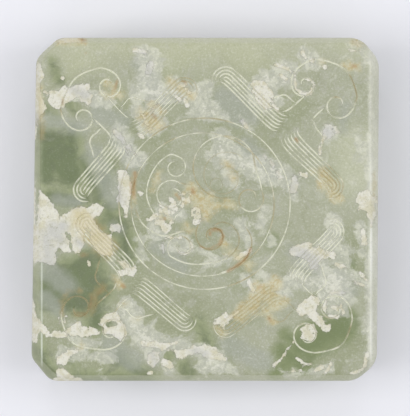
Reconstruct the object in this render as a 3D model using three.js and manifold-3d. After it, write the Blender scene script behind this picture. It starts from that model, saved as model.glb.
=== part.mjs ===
// Square jade box with cut corners and a lift-off lid. Millimetres, +Z up, front towards -Y.
import * as THREE from "three";
import Module from "manifold-3d";

const wasm = await Module();
wasm.setup();
const { Manifold, Mesh } = wasm;

// Outline, seen from above: hand-ground, so back and front differ a little
const backWidth = 86.0;
const frontWidth = 86.8;
const depth = 86.1;
const backMiddleX = 0.675;
const frontMiddleX = -0.275;

// Cut corners: how much of each side a cut takes, and the rounding at its two ends
const cuts = {
  frontLeft: { alongSide: 5.8, alongEnd: 4.9, rounding: 4.0 },
  frontRight: { alongSide: 4.5, alongEnd: 5.4, rounding: 6.0 },
  backRight: { alongSide: 5.6, alongEnd: 4.7, rounding: 6.0 },
  backLeft: { alongSide: 5.3, alongEnd: 5.6, rounding: 4.0 },
};
const arcSteps = 3;

// Heights
const baseHeight = 22.0;
const lidHeight = 14.0;
const overallHeight = baseHeight + lidHeight;

// Flat carved face of the lid, and the soft bevel that falls from it to the sides
const faceWidth = 82.0;
const faceDepth = 82.45;
const faceMiddleX = 0.2;
const faceMiddleY = 0.08;
const faceCut = 3.9;
const faceRounding = 3.6;
const bevelDrop = 2.2;

// Walls, floor and lid top
const wallThickness = 5.0;
const floorThickness = 5.0;
const lidTopThickness = 5.0;
const coveRadius = 1.6;

// Inner lip of the base, and the recess of the lid that drops over it
const lipHeight = 3.0;
const lipThickness = 2.2;
const lipClearance = 0.3;
const lipTopClearance = 0.3;

// Worn edges
const footBevel = 1.0;
const seamBevel = 0.3;

// Cut line of the carving: a V groove
const grooveHalfWidth = 0.23;
const grooveDepth = 0.34;
const grooveRunOut = 1.4;
const grooveStartShare = 0.4;
const grooveOvershoot = 0.12;
const chordTurn = 20;

// Where the carving was centred on the lid
const carvingX = 0.22;
const carvingY = -0.05;

// Four corner heads, each in its own frame: across the diagonal, and out along it
const bandLines = 6;
const bandPitch = 0.84;
const bandFlareStep = 0.18;
const cornerHeads = [
  {
    turn: 135,
    crown: 46.3,
    left: {
      eye: [5.7, 38.0], outer: 2.75, inner: 1.3, start: 69, sweep: 416, flare: 3.2, fall: 55, hold: 2,
      stem: { top: [3.85, 36.3], foot: [3.85, 30.2] },
      barb: { root: [4.0, 33.0], reach: 5.4, drop: 4.2, droop: 0 },
      band: { near: 3.4, top: 28.6, bottom: 24.3 },
      tip: { middle: [17.8, 24.8], radius: 3.0 },
    },
    right: {
      eye: [4.6, 39.0], outer: 2.75, inner: 1.1, start: 70, sweep: 440, flare: 2.3, fall: 45, hold: 3,
      stem: { top: [2.4, 37.6], foot: [2.4, 30.2] },
      barb: { root: [2.4, 33.2], reach: 5.3, drop: 4.2, droop: 0 },
      band: { near: 1.0, top: 28.0, bottom: 24.0 },
      tip: { middle: [17.2, 24.9], radius: 3.2 },
    },
  },
  {
    turn: 45,
    crown: 49.4,
    left: {
      eye: [4.6, 39.4], outer: 2.85, inner: 0.6, start: 70, sweep: 470, flare: 4.3, fall: 50, hold: 3,
      stem: { top: [2.6, 37.6], foot: [3.2, 31.8] },
      barb: { root: [2.8, 34.8], reach: 4.3, drop: 3.8, droop: 0.4 },
      band: { near: 1.2, top: 29.9, bottom: 25.6 },
      tip: { middle: [19.3, 26.3], radius: 3.4 },
    },
    right: {
      eye: [5.0, 41.8], outer: 3.2, inner: 0.9, start: 70, sweep: 370, flare: 1.95, fall: 30, hold: 3,
      stem: { top: [2.9, 39.0], foot: [2.9, 34.8] },
      barb: { root: [2.9, 34.9], reach: 5.7, drop: 5.0, droop: 1.3 },
      band: { near: 0.8, top: 29.4, bottom: 24.8 },
      tip: { middle: [17.8, 26.2], radius: 3.2 },
    },
  },
  {
    turn: 225,
    crown: 47.1,
    left: {
      eye: [4.9, 38.0], outer: 3.1, inner: 1.0, start: 72, sweep: 430, flare: 2.2, fall: 45, hold: 3,
      stem: { top: [2.0, 34.8], foot: [1.8, 29.8] },
      barb: { root: [2.0, 31.9], reach: 6.0, drop: 4.6, droop: 0 },
      band: { near: 0.6, top: 27.1, bottom: 22.6 },
      tip: { middle: [15.7, 23.2], radius: 2.8 },
    },
    right: {
      eye: [5.0, 40.0], outer: 3.6, inner: 1.2, start: 75, sweep: 400, flare: 1.4, fall: 30, hold: 1.2,
      stem: { top: [2.6, 36.4], foot: [2.4, 29.8] },
      barb: { root: [2.6, 32.0], reach: 6.0, drop: 4.6, droop: 0 },
      band: { near: 2.0, top: 26.6, bottom: 22.2 },
      tip: { middle: [18.2, 23.6], radius: 2.9 },
    },
  },
  {
    turn: 315,
    crown: 47.9,
    left: {
      eye: [4.8, 40.0], outer: 3.3, inner: 1.2, start: 75, sweep: 420, flare: 2.3, fall: 45, hold: 2,
      stem: { top: [3.8, 36.0], foot: [3.8, 30.4] },
      barb: { root: [3.8, 34.4], reach: 5.6, drop: 4.6, droop: 0 },
      band: { near: 3.0, top: 29.6, bottom: 25.2 },
      tip: { middle: [18.1, 26.0], radius: 3.3 },
    },
    right: {
      eye: [4.4, 39.9], outer: 3.1, inner: 1.4, start: 71, sweep: 435, flare: 1.9, fall: 40, hold: 2.5,
      stem: { top: [2.0, 36.6], foot: [2.0, 30.2] },
      barb: { root: [2.4, 33.3], reach: 5.4, drop: 5.3, droop: 0 },
      band: { near: 1.8, top: 28.2, bottom: 24.2 },
      tip: { middle: [17.0, 24.0], radius: 3.0 },
    },
  },
];

const radians = THREE.MathUtils.degToRad;

// A piece of a circle, as points
function arc(middle, radius, start, sweep, step) {
  const count = Math.max(2, Math.ceil(Math.abs(sweep) / step));
  return Array.from({ length: count + 1 }, (_, i) => {
    const angle = radians(start + (sweep * i) / count);
    return [middle[0] + radius * Math.cos(angle), middle[1] + radius * Math.sin(angle)];
  });
}

// A spiral about its eye that closes in from outer to inner; flare opens its first part outwards
function volute(shape) {
  const { eye, outer, inner, start, sweep, flare = 0, fall = 40, hold = 1 } = shape;
  const count = Math.ceil(Math.abs(sweep) / 24);
  return Array.from({ length: count + 1 }, (_, i) => {
    const share = i / count;
    const opening = flare * Math.exp((-Math.abs(sweep) * share) / fall);
    const reach = outer + (inner - outer) * share ** hold + opening;
    const angle = radians(start + sweep * share);
    return [eye[0] + reach * Math.cos(angle), eye[1] + reach * Math.sin(angle)];
  });
}

// A smooth line through a few points, cut into more chords where it turns more
function flow(points) {
  const curve = new THREE.CatmullRomCurve3(
    points.map(([x, y]) => new THREE.Vector3(x, y, 0)),
    false,
    "centripetal",
  );
  const spans = points.length - 1;
  const made = [points[0]];
  for (let k = 0; k < spans; k += 1) {
    const leaving = curve.getPoint((k + 0.02) / spans).sub(curve.getPoint(k / spans));
    const arriving = curve.getPoint((k + 1) / spans).sub(curve.getPoint((k + 0.98) / spans));
    const pieces = Math.max(1, Math.round(leaving.angleTo(arriving) / radians(chordTurn)));
    for (let i = 1; i <= pieces; i += 1) {
      const p = curve.getPoint((k + i / pieces) / spans);
      made.push([p.x, p.y]);
    }
  }
  return made;
}

// Centre of the lid: two rings, and scrolls that turn about one another inside them
function medallionLines() {
  const outerRing = arc([-0.35, 1.45], 21.4, 0, 360, 6);
  const innerRing = arc([-0.85, 1.25], 17.9, 0, 360, 7.2);
  const eyeRing = arc([2.6, 6.2], 1.6, 0, 360, 30);
  const smallCurl = volute({ eye: [11.1, 2.7], outer: 3.3, inner: 1.2, start: 17, sweep: -375, hold: 2.5 });
  const greatScroll = [...arc([4.6, 10.6], 7.8, 285, -260, 13), [12.6, 9.6], [13.4, 7.4], ...smallCurl];
  const innerWhorl = volute({ eye: [4.7, 8.2], outer: 6.6, inner: 1.9, start: 44, sweep: 455 });
  const lowerWhorl = volute({ eye: [1.6, -6.7], outer: 4.7, inner: 1.0, start: 130, sweep: 485, hold: 0.8 });
  const twinCurl = volute({ eye: [-6.2, -9.4], outer: 3.6, inner: 0.8, start: 215, sweep: -430 });
  const twinBack = [[-7.2, -12.6], [-5.0, -13.4], [-2.2, -13.7], [0.8, -13.4], [4.5, -12.5], [7.0, -10.7]];
  const twinRise = [[8.3, -8.0], [7.8, -5.6], [6.1, -3.8], [3.9, -3.2], [1.8, -4.1]];
  const twinScroll = flow([...twinCurl.reverse(), ...twinBack, ...twinRise]);
  const sideSweep = flow([[9.9, -4.4], [11.2, -6.6], [11.4, -9.0], [10.2, -12.0], [7.2, -14.6], [3.2, -16.0]]);
  const crestCurl = volute({ eye: [-7.7, 10.5], outer: 2.9, inner: 1.4, start: 80, sweep: -360 });
  const crestFall = [[-8.8, 13.8], [-11.4, 12.1], [-13.4, 9.4], [-14.6, 6.2], [-14.8, 3.2], [-13.4, -0.4]];
  const crest = flow([...crestCurl.reverse(), ...crestFall, [-11.4, -2.6]]);
  const browCurl = volute({ eye: [-8.7, 3.6], outer: 3.7, inner: 1.0, start: 55, sweep: 420, hold: 2.6 });
  const jawBack = [[-17.6, 0.2], [-17.0, -1.6], [-15.9, -3.5], [-14.0, -5.1], [-11.6, -6.4]];
  const jaw = flow([...jawBack, [-9.6, -6.6], [-7.4, -5.9], [-5.7, -5.4], [-3.4, -6.3]]);
  const tooth = flow([[-6.7, -0.9], [-7.5, -1.6], [-7.95, -2.8]]);
  const neck = flow([[-2.1, -3.3], [-1.2, -2.9], [0.0, -2.2], [1.1, -1.3]]);
  return {
    rings: [outerRing, innerRing, eyeRing],
    strokes: [
      greatScroll,
      innerWhorl,
      lowerWhorl,
      twinScroll,
      sideSweep,
      crest,
      [[-4.4, 6.2], ...browCurl],
      jaw,
      tooth,
      neck,
    ],
  };
}

// One half of a corner head: volute, stem, barb and a band of parallel lines that hook at the tip
function headHalf(half, side) {
  const place = (points) => points.map(([x, y]) => [side * x, y]);
  const curl = volute({ ...half, sweep: -half.sweep });
  const [topX, topY] = half.stem.top;
  const [footX, footY] = half.stem.foot;
  const stem = flow([[topX, topY], [footX, footY], [footX + 0.7, footY - 1.1]]);
  const { root, reach, drop, droop } = half.barb;
  const leaf = [[0, 0, 0], [0.3, -0.02, 0.6], [0.62, 0.02, 1], [0.86, -0.12, 0.6], [1.0, -0.45, 0], [1.25, -1, 0]];
  const barb = flow(
    leaf.map(([out, down, sag]) => [root[0] + reach * out, root[1] + drop * down - droop * sag]),
  );
  const { near, top, bottom } = half.band;
  const { middle, radius } = half.tip;
  const band = [];
  for (let i = 0; i < bandLines; i += 1) {
    const level = top + ((bottom - top) * i) / (bandLines - 1);
    const begin = near + bandFlareStep * (bandLines - 1 - i);
    const bend = radius - bandPitch * i;
    const flare = [[begin, level + 1.0], [begin + 1.1, level + 0.3], [begin + 3.2, level]];
    const end =
      bend > 0.5
        ? arc(middle, bend, 90, -(150 - 12 * i), 26)
        : [[middle[0] - 0.5, middle[1] + bend], [middle[0] + 0.9, middle[1] + bend - 0.35]];
    band.push([...flare, ...end]);
  }
  return { curl: place(curl), lines: [stem, barb, ...band].map(place) };
}

// All lines of one corner head, turned to its corner
function cornerLines(head) {
  const left = headHalf(head.left, -1);
  const right = headHalf(head.right, 1);
  const cap = flow([...left.curl.reverse(), [0, head.crown], ...right.curl]);
  const out = new THREE.Vector2(Math.cos(radians(head.turn)), Math.sin(radians(head.turn)));
  const across = new THREE.Vector2(out.y, -out.x);
  return [cap, ...left.lines, ...right.lines].map((line) =>
    line.map(([x, y]) => [across.x * x + out.x * y, across.y * x + out.y * y]),
  );
}

function solidOf(geometry) {
  const vertProperties = new Float32Array(geometry.attributes.position.array);
  const triVerts = new Uint32Array(geometry.index.array);
  return new Manifold(new Mesh({ numProp: 3, vertProperties, triVerts }));
}

function geometryOf(solid) {
  const { numProp, numVert, vertProperties, triVerts } = solid.getMesh();
  const positions = new Float32Array(numVert * 3);
  for (let i = 0; i < numVert; i += 1) {
    positions.set(vertProperties.subarray(i * numProp, i * numProp + 3), i * 3);
  }
  const geometry = new THREE.BufferGeometry();
  geometry.setAttribute("position", new THREE.BufferAttribute(positions, 3));
  geometry.setIndex(new THREE.BufferAttribute(triVerts, 1));
  geometry.computeVertexNormals();
  return geometry;
}

function closedGeometry(points, faces) {
  const geometry = new THREE.BufferGeometry();
  geometry.setAttribute("position", new THREE.Float32BufferAttribute(points.flat(), 3));
  geometry.setIndex(faces.flat());
  return geometry;
}

// Corners of the outer outline, counter-clockwise from the front left, each with its cut
const outerCorners = [
  [frontMiddleX - frontWidth / 2, -depth / 2, cuts.frontLeft.alongSide, cuts.frontLeft.alongEnd],
  [frontMiddleX + frontWidth / 2, -depth / 2, cuts.frontRight.alongEnd, cuts.frontRight.alongSide],
  [backMiddleX + backWidth / 2, depth / 2, cuts.backRight.alongSide, cuts.backRight.alongEnd],
  [backMiddleX - backWidth / 2, depth / 2, cuts.backLeft.alongEnd, cuts.backLeft.alongSide],
];
const outerRoundings = [cuts.frontLeft, cuts.frontRight, cuts.backRight, cuts.backLeft].map((cut) => cut.rounding);
const faceCorners = [
  [faceMiddleX - faceWidth / 2, faceMiddleY - faceDepth / 2, faceCut, faceCut],
  [faceMiddleX + faceWidth / 2, faceMiddleY - faceDepth / 2, faceCut, faceCut],
  [faceMiddleX + faceWidth / 2, faceMiddleY + faceDepth / 2, faceCut, faceCut],
  [faceMiddleX - faceWidth / 2, faceMiddleY + faceDepth / 2, faceCut, faceCut],
];

// Eight corners of a square whose own corners are cut off
function cutSquare(corners) {
  return corners.flatMap(([x, y, before, after], i) => {
    const here = new THREE.Vector2(x, y);
    const towards = (k) => {
      const [nx, ny] = corners[(k + 4) % 4];
      return new THREE.Vector2(nx, ny).sub(here).normalize();
    };
    return [
      here.clone().addScaledVector(towards(i - 1), before),
      here.clone().addScaledVector(towards(i + 1), after),
    ];
  });
}

// The same eight corners with every side moved inwards
function inset(corners, distance) {
  const sides = corners.map((a, i) => {
    const b = corners[(i + 1) % corners.length];
    const along = b.clone().sub(a).normalize();
    const inward = new THREE.Vector2(-along.y, along.x);
    return { point: a.clone().addScaledVector(inward, distance), along };
  });
  return sides.map((side, i) => {
    const last = sides[(i + sides.length - 1) % sides.length];
    const gap = side.point.clone().sub(last.point);
    const reach = gap.cross(side.along) / last.along.cross(side.along);
    return last.point.clone().addScaledVector(last.along, reach);
  });
}

// Each corner turned into an arc
function rounded(corners, roundings) {
  return corners.flatMap((corner, i) => {
    const before = corners[(i + 7) % 8].clone().sub(corner).normalize();
    const after = corners[(i + 1) % 8].clone().sub(corner).normalize();
    const half = Math.acos(THREE.MathUtils.clamp(before.dot(after), -1, 1)) / 2;
    const radius = roundings[i >> 1];
    const middle = corner
      .clone()
      .addScaledVector(before.clone().add(after).normalize(), radius / Math.sin(half));
    const from = corner.clone().addScaledVector(before, radius / Math.tan(half)).sub(middle);
    const turn = Math.PI - 2 * half;
    return Array.from({ length: arcSteps + 1 }, (_, k) =>
      from.clone().rotateAround(new THREE.Vector2(), (turn * k) / arcSteps).add(middle),
    );
  });
}

function outerLoop(distance) {
  const roundings = outerRoundings.map((radius) => Math.max(1.2, radius - distance));
  return rounded(inset(cutSquare(outerCorners), distance), roundings);
}

const faceLoop = rounded(cutSquare(faceCorners), [faceRounding, faceRounding, faceRounding, faceRounding]);

function blend(a, b, share) {
  return a.map((point, i) => point.clone().lerp(b[i], share));
}

// A closed body through loops at rising heights
function loft(levels) {
  const count = levels[0].loop.length;
  const points = levels.flatMap(({ loop, z }) => loop.map((p) => [p.x, p.y, z]));
  const faces = [];
  for (let k = 0; k + 1 < levels.length; k += 1) {
    for (let i = 0; i < count; i += 1) {
      const a = k * count + i;
      const b = k * count + ((i + 1) % count);
      faces.push([a, b, b + count], [a, b + count, a + count]);
    }
  }
  const bottom = THREE.ShapeUtils.triangulateShape(levels[0].loop, []);
  const top = THREE.ShapeUtils.triangulateShape(levels.at(-1).loop, []);
  const last = (levels.length - 1) * count;
  bottom.forEach(([a, b, c]) => faces.push([a, c, b]));
  top.forEach(([a, b, c]) => faces.push([last + a, last + b, last + c]));
  return solidOf(closedGeometry(points, faces));
}

// One cut line: a V section swept along its path, rising to nothing at the ends of an open line
function groove(path, closed) {
  const line = path.map(([x, y]) => new THREE.Vector2(x + carvingX, y + carvingY));
  if (closed) line.pop();
  const lengths = [0];
  for (let i = 1; i < line.length; i += 1) lengths.push(lengths[i - 1] + line[i].distanceTo(line[i - 1]));
  const total = lengths.at(-1);
  const spread = (grooveDepth + grooveOvershoot) / grooveDepth;
  const points = line.flatMap((here, i) => {
    const before = line[closed ? (i + line.length - 1) % line.length : Math.max(0, i - 1)];
    const after = line[closed ? (i + 1) % line.length : Math.min(line.length - 1, i + 1)];
    const along = after.clone().sub(before).normalize();
    const left = new THREE.Vector2(-along.y, along.x);
    const end = Math.min(lengths[i], total - lengths[i]) / grooveRunOut;
    const share = closed ? 1 : Math.min(1, grooveStartShare + (1 - grooveStartShare) * end);
    const half = grooveHalfWidth * share * spread;
    const top = overallHeight + grooveOvershoot * share;
    return [
      [here.x + left.x * half, here.y + left.y * half, top],
      [here.x - left.x * half, here.y - left.y * half, top],
      [here.x, here.y, overallHeight - grooveDepth * share],
    ];
  });
  const faces = [];
  const spans = closed ? line.length : line.length - 1;
  for (let i = 0; i < spans; i += 1) {
    const a = 3 * i;
    const b = 3 * ((i + 1) % line.length);
    for (let k = 0; k < 3; k += 1) {
      const next = (k + 1) % 3;
      faces.push([a + k, a + next, b + next], [a + k, b + next, b + k]);
    }
  }
  if (!closed) {
    const e = 3 * (line.length - 1);
    faces.push([0, 2, 1], [e, e + 1, e + 2]);
  }
  return solidOf(closedGeometry(points, faces));
}

function makeBase() {
  const body = loft([
    { loop: outerLoop(footBevel), z: 0 },
    { loop: outerLoop(footBevel * 0.25), z: footBevel * 0.4 },
    { loop: outerLoop(0), z: footBevel * 1.3 },
    { loop: outerLoop(0), z: baseHeight - seamBevel },
    { loop: outerLoop(seamBevel), z: baseHeight },
  ]);
  const lipInset = wallThickness - lipThickness;
  const lip = loft([
    { loop: outerLoop(lipInset), z: baseHeight - 1 },
    { loop: outerLoop(lipInset), z: baseHeight + lipHeight - seamBevel },
    { loop: outerLoop(lipInset + seamBevel), z: baseHeight + lipHeight },
  ]);
  const cavity = loft([
    { loop: outerLoop(wallThickness + coveRadius), z: floorThickness },
    { loop: outerLoop(wallThickness + coveRadius * 0.3), z: floorThickness + coveRadius * 0.3 },
    { loop: outerLoop(wallThickness), z: floorThickness + coveRadius },
    { loop: outerLoop(wallThickness), z: baseHeight + lipHeight + 1 },
  ]);
  return body.add(lip).subtract(cavity);
}

function makeLid() {
  const side = outerLoop(0);
  const body = loft([
    { loop: outerLoop(seamBevel), z: baseHeight },
    { loop: side, z: baseHeight + seamBevel },
    { loop: side, z: overallHeight - bevelDrop - 0.5 },
    { loop: blend(faceLoop, side, 0.9), z: overallHeight - bevelDrop + 0.2 },
    { loop: blend(faceLoop, side, 0.22), z: overallHeight - 0.28 },
    { loop: faceLoop, z: overallHeight },
  ]);
  const recessInset = wallThickness - lipThickness - lipClearance;
  const recessTop = baseHeight + lipHeight + lipTopClearance;
  const ceiling = overallHeight - lidTopThickness;
  const recess = loft([
    { loop: outerLoop(recessInset), z: baseHeight - 1 },
    { loop: outerLoop(recessInset), z: recessTop },
  ]);
  const hollow = loft([
    { loop: outerLoop(wallThickness), z: baseHeight - 1 },
    { loop: outerLoop(wallThickness), z: ceiling - coveRadius },
    { loop: outerLoop(wallThickness + coveRadius * 0.3), z: ceiling - coveRadius * 0.3 },
    { loop: outerLoop(wallThickness + coveRadius), z: ceiling },
  ]);
  const medallion = medallionLines();
  const carving = [
    ...medallion.rings.map((line) => groove(line, true)),
    ...medallion.strokes.map((line) => groove(line, false)),
    ...cornerHeads.flatMap(cornerLines).map((line) => groove(line, false)),
  ];
  return body.subtract(Manifold.union([recess, hollow])).subtract(Manifold.union(carving));
}

const jade = new THREE.MeshStandardMaterial({ name: "jade", color: 0xa6a997, roughness: 0.35, metalness: 0 });

const box = new THREE.Group();
box.name = "jade_box";
for (const [name, solid] of [["base", makeBase()], ["lid", makeLid()]]) {
  const mesh = new THREE.Mesh(geometryOf(solid), jade);
  mesh.name = name;
  box.add(mesh);
}

export default box;
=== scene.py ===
# %% [markdown]
# # A square jade box with a carved lid
#
# The box is two stones: a base, and a lid that drops over the base's inner lip. Both were
# ground from nephrite, so nothing about them is quite straight. The lid's flat top carries
# fine cut lines: two rings with scrolls inside them, and a cloud-shaped head in each corner.
# Long burial has bleached parts of the skin to a cream crust and stained others ochre.
#
# This lesson keeps the sizes of the solid model, builds a finer skin over it, presses the cut
# lines into that skin with Geometry Nodes, and mixes the stone out of a few painted fields.

import math

import bmesh
import bpy
import numpy as np
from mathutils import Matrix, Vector, geometry, kdtree, noise


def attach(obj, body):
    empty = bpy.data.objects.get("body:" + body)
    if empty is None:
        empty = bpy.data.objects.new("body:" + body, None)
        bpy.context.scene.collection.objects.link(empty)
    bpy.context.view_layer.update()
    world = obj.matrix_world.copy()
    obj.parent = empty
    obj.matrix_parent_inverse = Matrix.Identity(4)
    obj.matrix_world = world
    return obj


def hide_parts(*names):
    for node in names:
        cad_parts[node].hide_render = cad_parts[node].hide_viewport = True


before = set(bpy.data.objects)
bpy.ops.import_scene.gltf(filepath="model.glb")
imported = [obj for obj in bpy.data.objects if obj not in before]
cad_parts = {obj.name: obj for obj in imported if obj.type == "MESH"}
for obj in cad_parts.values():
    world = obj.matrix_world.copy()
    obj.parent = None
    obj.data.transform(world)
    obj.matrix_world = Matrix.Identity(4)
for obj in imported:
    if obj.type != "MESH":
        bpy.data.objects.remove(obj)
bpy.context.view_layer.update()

# %% [markdown]
# ## Sizes
#
# All sizes are in millimetres, as a maker would note them, and turned into metres only when
# a mesh is made. The outline is a square with its corners cut off. Its back edge is a little
# shorter than its front edge, and the two are not quite above one another, because the stone
# was squared by eye.

# %% Sizes of the box
MM = 0.001
BACK_WIDTH, FRONT_WIDTH, DEPTH = 86.0, 86.8, 86.1
BACK_MIDDLE, FRONT_MIDDLE = 0.675, -0.275
BASE_HEIGHT, LID_HEIGHT = 22.0, 14.0
TOP = BASE_HEIGHT + LID_HEIGHT
WALL, FLOOR, LID_TOP, COVE = 5.0, 5.0, 5.0, 1.6
LIP_HEIGHT, LIP_THICKNESS, LIP_CLEARANCE = 3.0, 2.2, 0.3
FOOT_BEVEL, SEAM_BEVEL, SEAM_EASE, LIP_EASE = 1.0, 0.3, 0.09, 0.2
FACE_WIDTH, FACE_DEPTH, FACE_CUT, FACE_ROUNDING = 82.0, 82.45, 3.9, 3.6
FACE_MIDDLE = (0.2, 0.08)
CARVING = (0.22, -0.05)

# Each corner, counter-clockwise from the front left: place, length cut before it and after it
OUTER = [
    (FRONT_MIDDLE - FRONT_WIDTH / 2, -DEPTH / 2, 5.8, 4.9),
    (FRONT_MIDDLE + FRONT_WIDTH / 2, -DEPTH / 2, 5.4, 4.5),
    (BACK_MIDDLE + BACK_WIDTH / 2, DEPTH / 2, 5.6, 4.7),
    (BACK_MIDDLE - BACK_WIDTH / 2, DEPTH / 2, 5.6, 5.3),
]
OUTER_ROUNDINGS, LEAST_ROUNDING = [4.0, 6.0, 6.0, 4.0], 1.2
FACE = [
    (FACE_MIDDLE[0] + sx * FACE_WIDTH / 2, FACE_MIDDLE[1] + sy * FACE_DEPTH / 2, FACE_CUT, FACE_CUT)
    for sx, sy in ((-1, -1), (1, -1), (1, 1), (-1, 1))
]
print("lid top at", TOP, "mm; outline", FRONT_WIDTH, "x", DEPTH, "mm")

# %% [markdown]
# ## The outline at any depth
#
# Every surface of the box follows the same outline, moved inwards by some distance. So one
# function cuts the corners off the square, one moves the sides inwards, and one rounds the
# corners. All loops get the same number of points, which lets any two of them be joined by
# a strip of four-sided faces.


# %% Outline helpers
def cut_square(corners):
    made = []
    for i, (x, y, before, after) in enumerate(corners):
        here = np.array((x, y))
        for other, length in ((corners[i - 1], before), (corners[(i + 1) % 4], after)):
            way = np.array(other[:2]) - here
            made.append(here + way / np.linalg.norm(way) * length)
    return np.array(made)


def move_in(corners, distance):
    along = np.roll(corners, -1, 0) - corners
    along /= np.linalg.norm(along, axis=1)[:, None]
    start = corners + np.stack((-along[:, 1], along[:, 0]), 1) * distance
    last, last_start = np.roll(along, 1, 0), np.roll(start, 1, 0)
    gap = start - last_start
    reach = (gap[:, 0] * along[:, 1] - gap[:, 1] * along[:, 0]) / (
        last[:, 0] * along[:, 1] - last[:, 1] * along[:, 0]
    )
    return last_start + last * reach[:, None]


def round_off(corners, roundings, arc_steps=8, long_steps=64, cut_steps=4):
    arcs = []
    for i, corner in enumerate(corners):
        before = corners[i - 1] - corner
        after = corners[(i + 1) % 8] - corner
        before /= np.linalg.norm(before)
        after /= np.linalg.norm(after)
        half = math.acos(np.clip(before @ after, -1, 1)) / 2
        radius = roundings[i // 2]
        middle = corner + (before + after) / np.linalg.norm(before + after) * radius / math.sin(half)
        arm = corner + before * radius / math.tan(half) - middle
        turns = [(math.pi - 2 * half) * k / arc_steps for k in range(arc_steps + 1)]
        arcs.append([middle + (arm[0] * math.cos(t) - arm[1] * math.sin(t),
                               arm[0] * math.sin(t) + arm[1] * math.cos(t)) for t in turns])
    loop = []
    for i, bend in enumerate(arcs):
        loop += bend
        steps = long_steps if i % 2 else cut_steps
        start, end = bend[-1], arcs[(i + 1) % 8][0]
        loop += [start + (end - start) * k / steps for k in range(1, steps)]
    return np.array(loop)


def outer_loop(distance):
    roundings = [max(LEAST_ROUNDING, radius - distance) for radius in OUTER_ROUNDINGS]
    return round_off(move_in(cut_square(OUTER), distance), roundings)


face_loop = round_off(cut_square(FACE), [FACE_ROUNDING] * 4)
side_loop = outer_loop(0)
print("points on each loop:", len(face_loop))

# %% [markdown]
# ## The cut lines
#
# A carver works from a few shapes: circles, spirals that close in on an eye, and smooth
# curves. A spiral's reach goes from an outer to an inner radius as it turns, and `flare`
# opens its first part into a wide shoulder. Smooth curves run through a few given points.
# A line is kept as its points and the share of the full depth it was cut to.


# %% Line makers
def arc(middle, radius, start, sweep, step=5.0):
    count = max(2, math.ceil(abs(sweep) / step))
    turns = [math.radians(start + sweep * i / count) for i in range(count + 1)]
    return [(middle[0] + radius * math.cos(t), middle[1] + radius * math.sin(t)) for t in turns]


def spiral(eye, outer, inner, start, sweep, flare=0.0, fall=40.0, hold=1.0):
    count = math.ceil(abs(sweep) / 8)
    made = []
    for i in range(count + 1):
        share = i / count
        reach = outer + (inner - outer) * share**hold
        reach += flare * math.exp(-abs(sweep) * share / fall)
        turn = math.radians(start + sweep * share)
        made.append((eye[0] + reach * math.cos(turn), eye[1] + reach * math.sin(turn)))
    return made


def flow(points, step=0.55):
    """A smooth curve through points, each stretch blended from its four nearest points."""
    before = tuple(2 * a - b for a, b in zip(points[0], points[1]))
    behind = tuple(2 * a - b for a, b in zip(points[-1], points[-2]))
    run = [before, *points, behind]
    made = [points[0]]
    for p0, p1, p2, p3 in zip(run, run[1:], run[2:], run[3:]):
        p = np.array((p0, p1, p2, p3), float)
        gaps = np.sqrt(np.linalg.norm(np.diff(p, axis=0), axis=1))
        t = np.concatenate(((0,), np.cumsum(gaps)))
        count = max(1, math.ceil(math.dist(p1, p2) / step))
        for i in range(1, count + 1):
            now = t[1] + (t[2] - t[1]) * i / count
            level = p
            for width in (1, 2, 3):
                low, high = (t[: 4 - width], t[width:]) if width < 3 else (t[1:2], t[2:3])
                share = ((now - low) / (high - low))[:, None]
                level = level[:-1] * (1 - share) + level[1:] * share
            made.append(tuple(level[0]))
    return made


print("a quarter circle of 21 mm has", len(arc((0, 0), 21, 0, 90)), "points")


# %% The medallion in the middle of the lid
def medallion_lines():
    """Two rings and the scrolls inside them, each with its depth as a share of the full cut."""
    small_curl = spiral((11.1, 2.7), 3.3, 1.2, 17, -375, hold=2.5)
    great = flow(arc((4.6, 10.6), 7.8, 285, -260) + [(12.6, 9.6), (13.4, 7.4)] + small_curl)
    twin = flow(spiral((-6.2, -9.4), 3.6, 0.8, 215, -430)[::-1]
                + [(-7.2, -12.6), (-5.0, -13.4), (-2.2, -13.7), (0.8, -13.4), (4.5, -12.5), (7.0, -10.7),
                   (8.3, -8.0), (7.8, -5.6), (6.1, -3.8), (3.9, -3.2), (1.8, -4.1)])
    crest = flow(spiral((-7.7, 10.5), 2.9, 1.4, 80, -360)[::-1]
                 + [(-8.8, 13.8), (-11.4, 12.1), (-13.4, 9.4), (-14.6, 6.2), (-14.8, 3.2), (-13.4, -0.4),
                    (-11.4, -2.6)])
    brow = [(-4.4, 6.2)] + spiral((-8.7, 3.6), 3.7, 1.0, 55, 420, hold=2.6)
    jaw = flow([(-17.6, 0.2), (-17.0, -1.6), (-15.9, -3.5), (-14.0, -5.1), (-11.6, -6.4), (-9.6, -6.6),
                (-7.4, -5.9), (-5.7, -5.4), (-3.4, -6.3)])
    sweep = flow([(9.9, -4.4), (11.2, -6.6), (11.4, -9.0), (10.2, -12.0), (7.2, -14.6), (3.2, -16.0)])
    return [
        (arc((-0.35, 1.45), 21.4, 0, 360, 2), 0.85),
        (arc((-0.85, 1.25), 17.9, 0, 360, 2), 0.75),
        (arc((2.6, 6.2), 1.6, 0, 360, 12), 0.5),
        (great, 0.8),
        (spiral((4.7, 8.2), 6.6, 1.9, 44, 455), 0.6),
        (spiral((1.6, -6.7), 4.7, 1.0, 130, 485, hold=0.8), 0.9),
        (twin, 0.9),
        (sweep, 0.9),
        (crest, 0.85),
        (brow, 0.8),
        (jaw, 1.0),
        (flow([(-6.7, -0.9), (-7.5, -1.6), (-7.95, -2.8)]), 0.9),
        (flow([(-2.1, -3.3), (-1.2, -2.9), (0.0, -2.2), (1.1, -1.3)]), 0.8),
    ]


# %% The four corner heads
BAND_LINES, BAND_PITCH, BAND_STEP = 6, 0.84, 0.18
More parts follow.
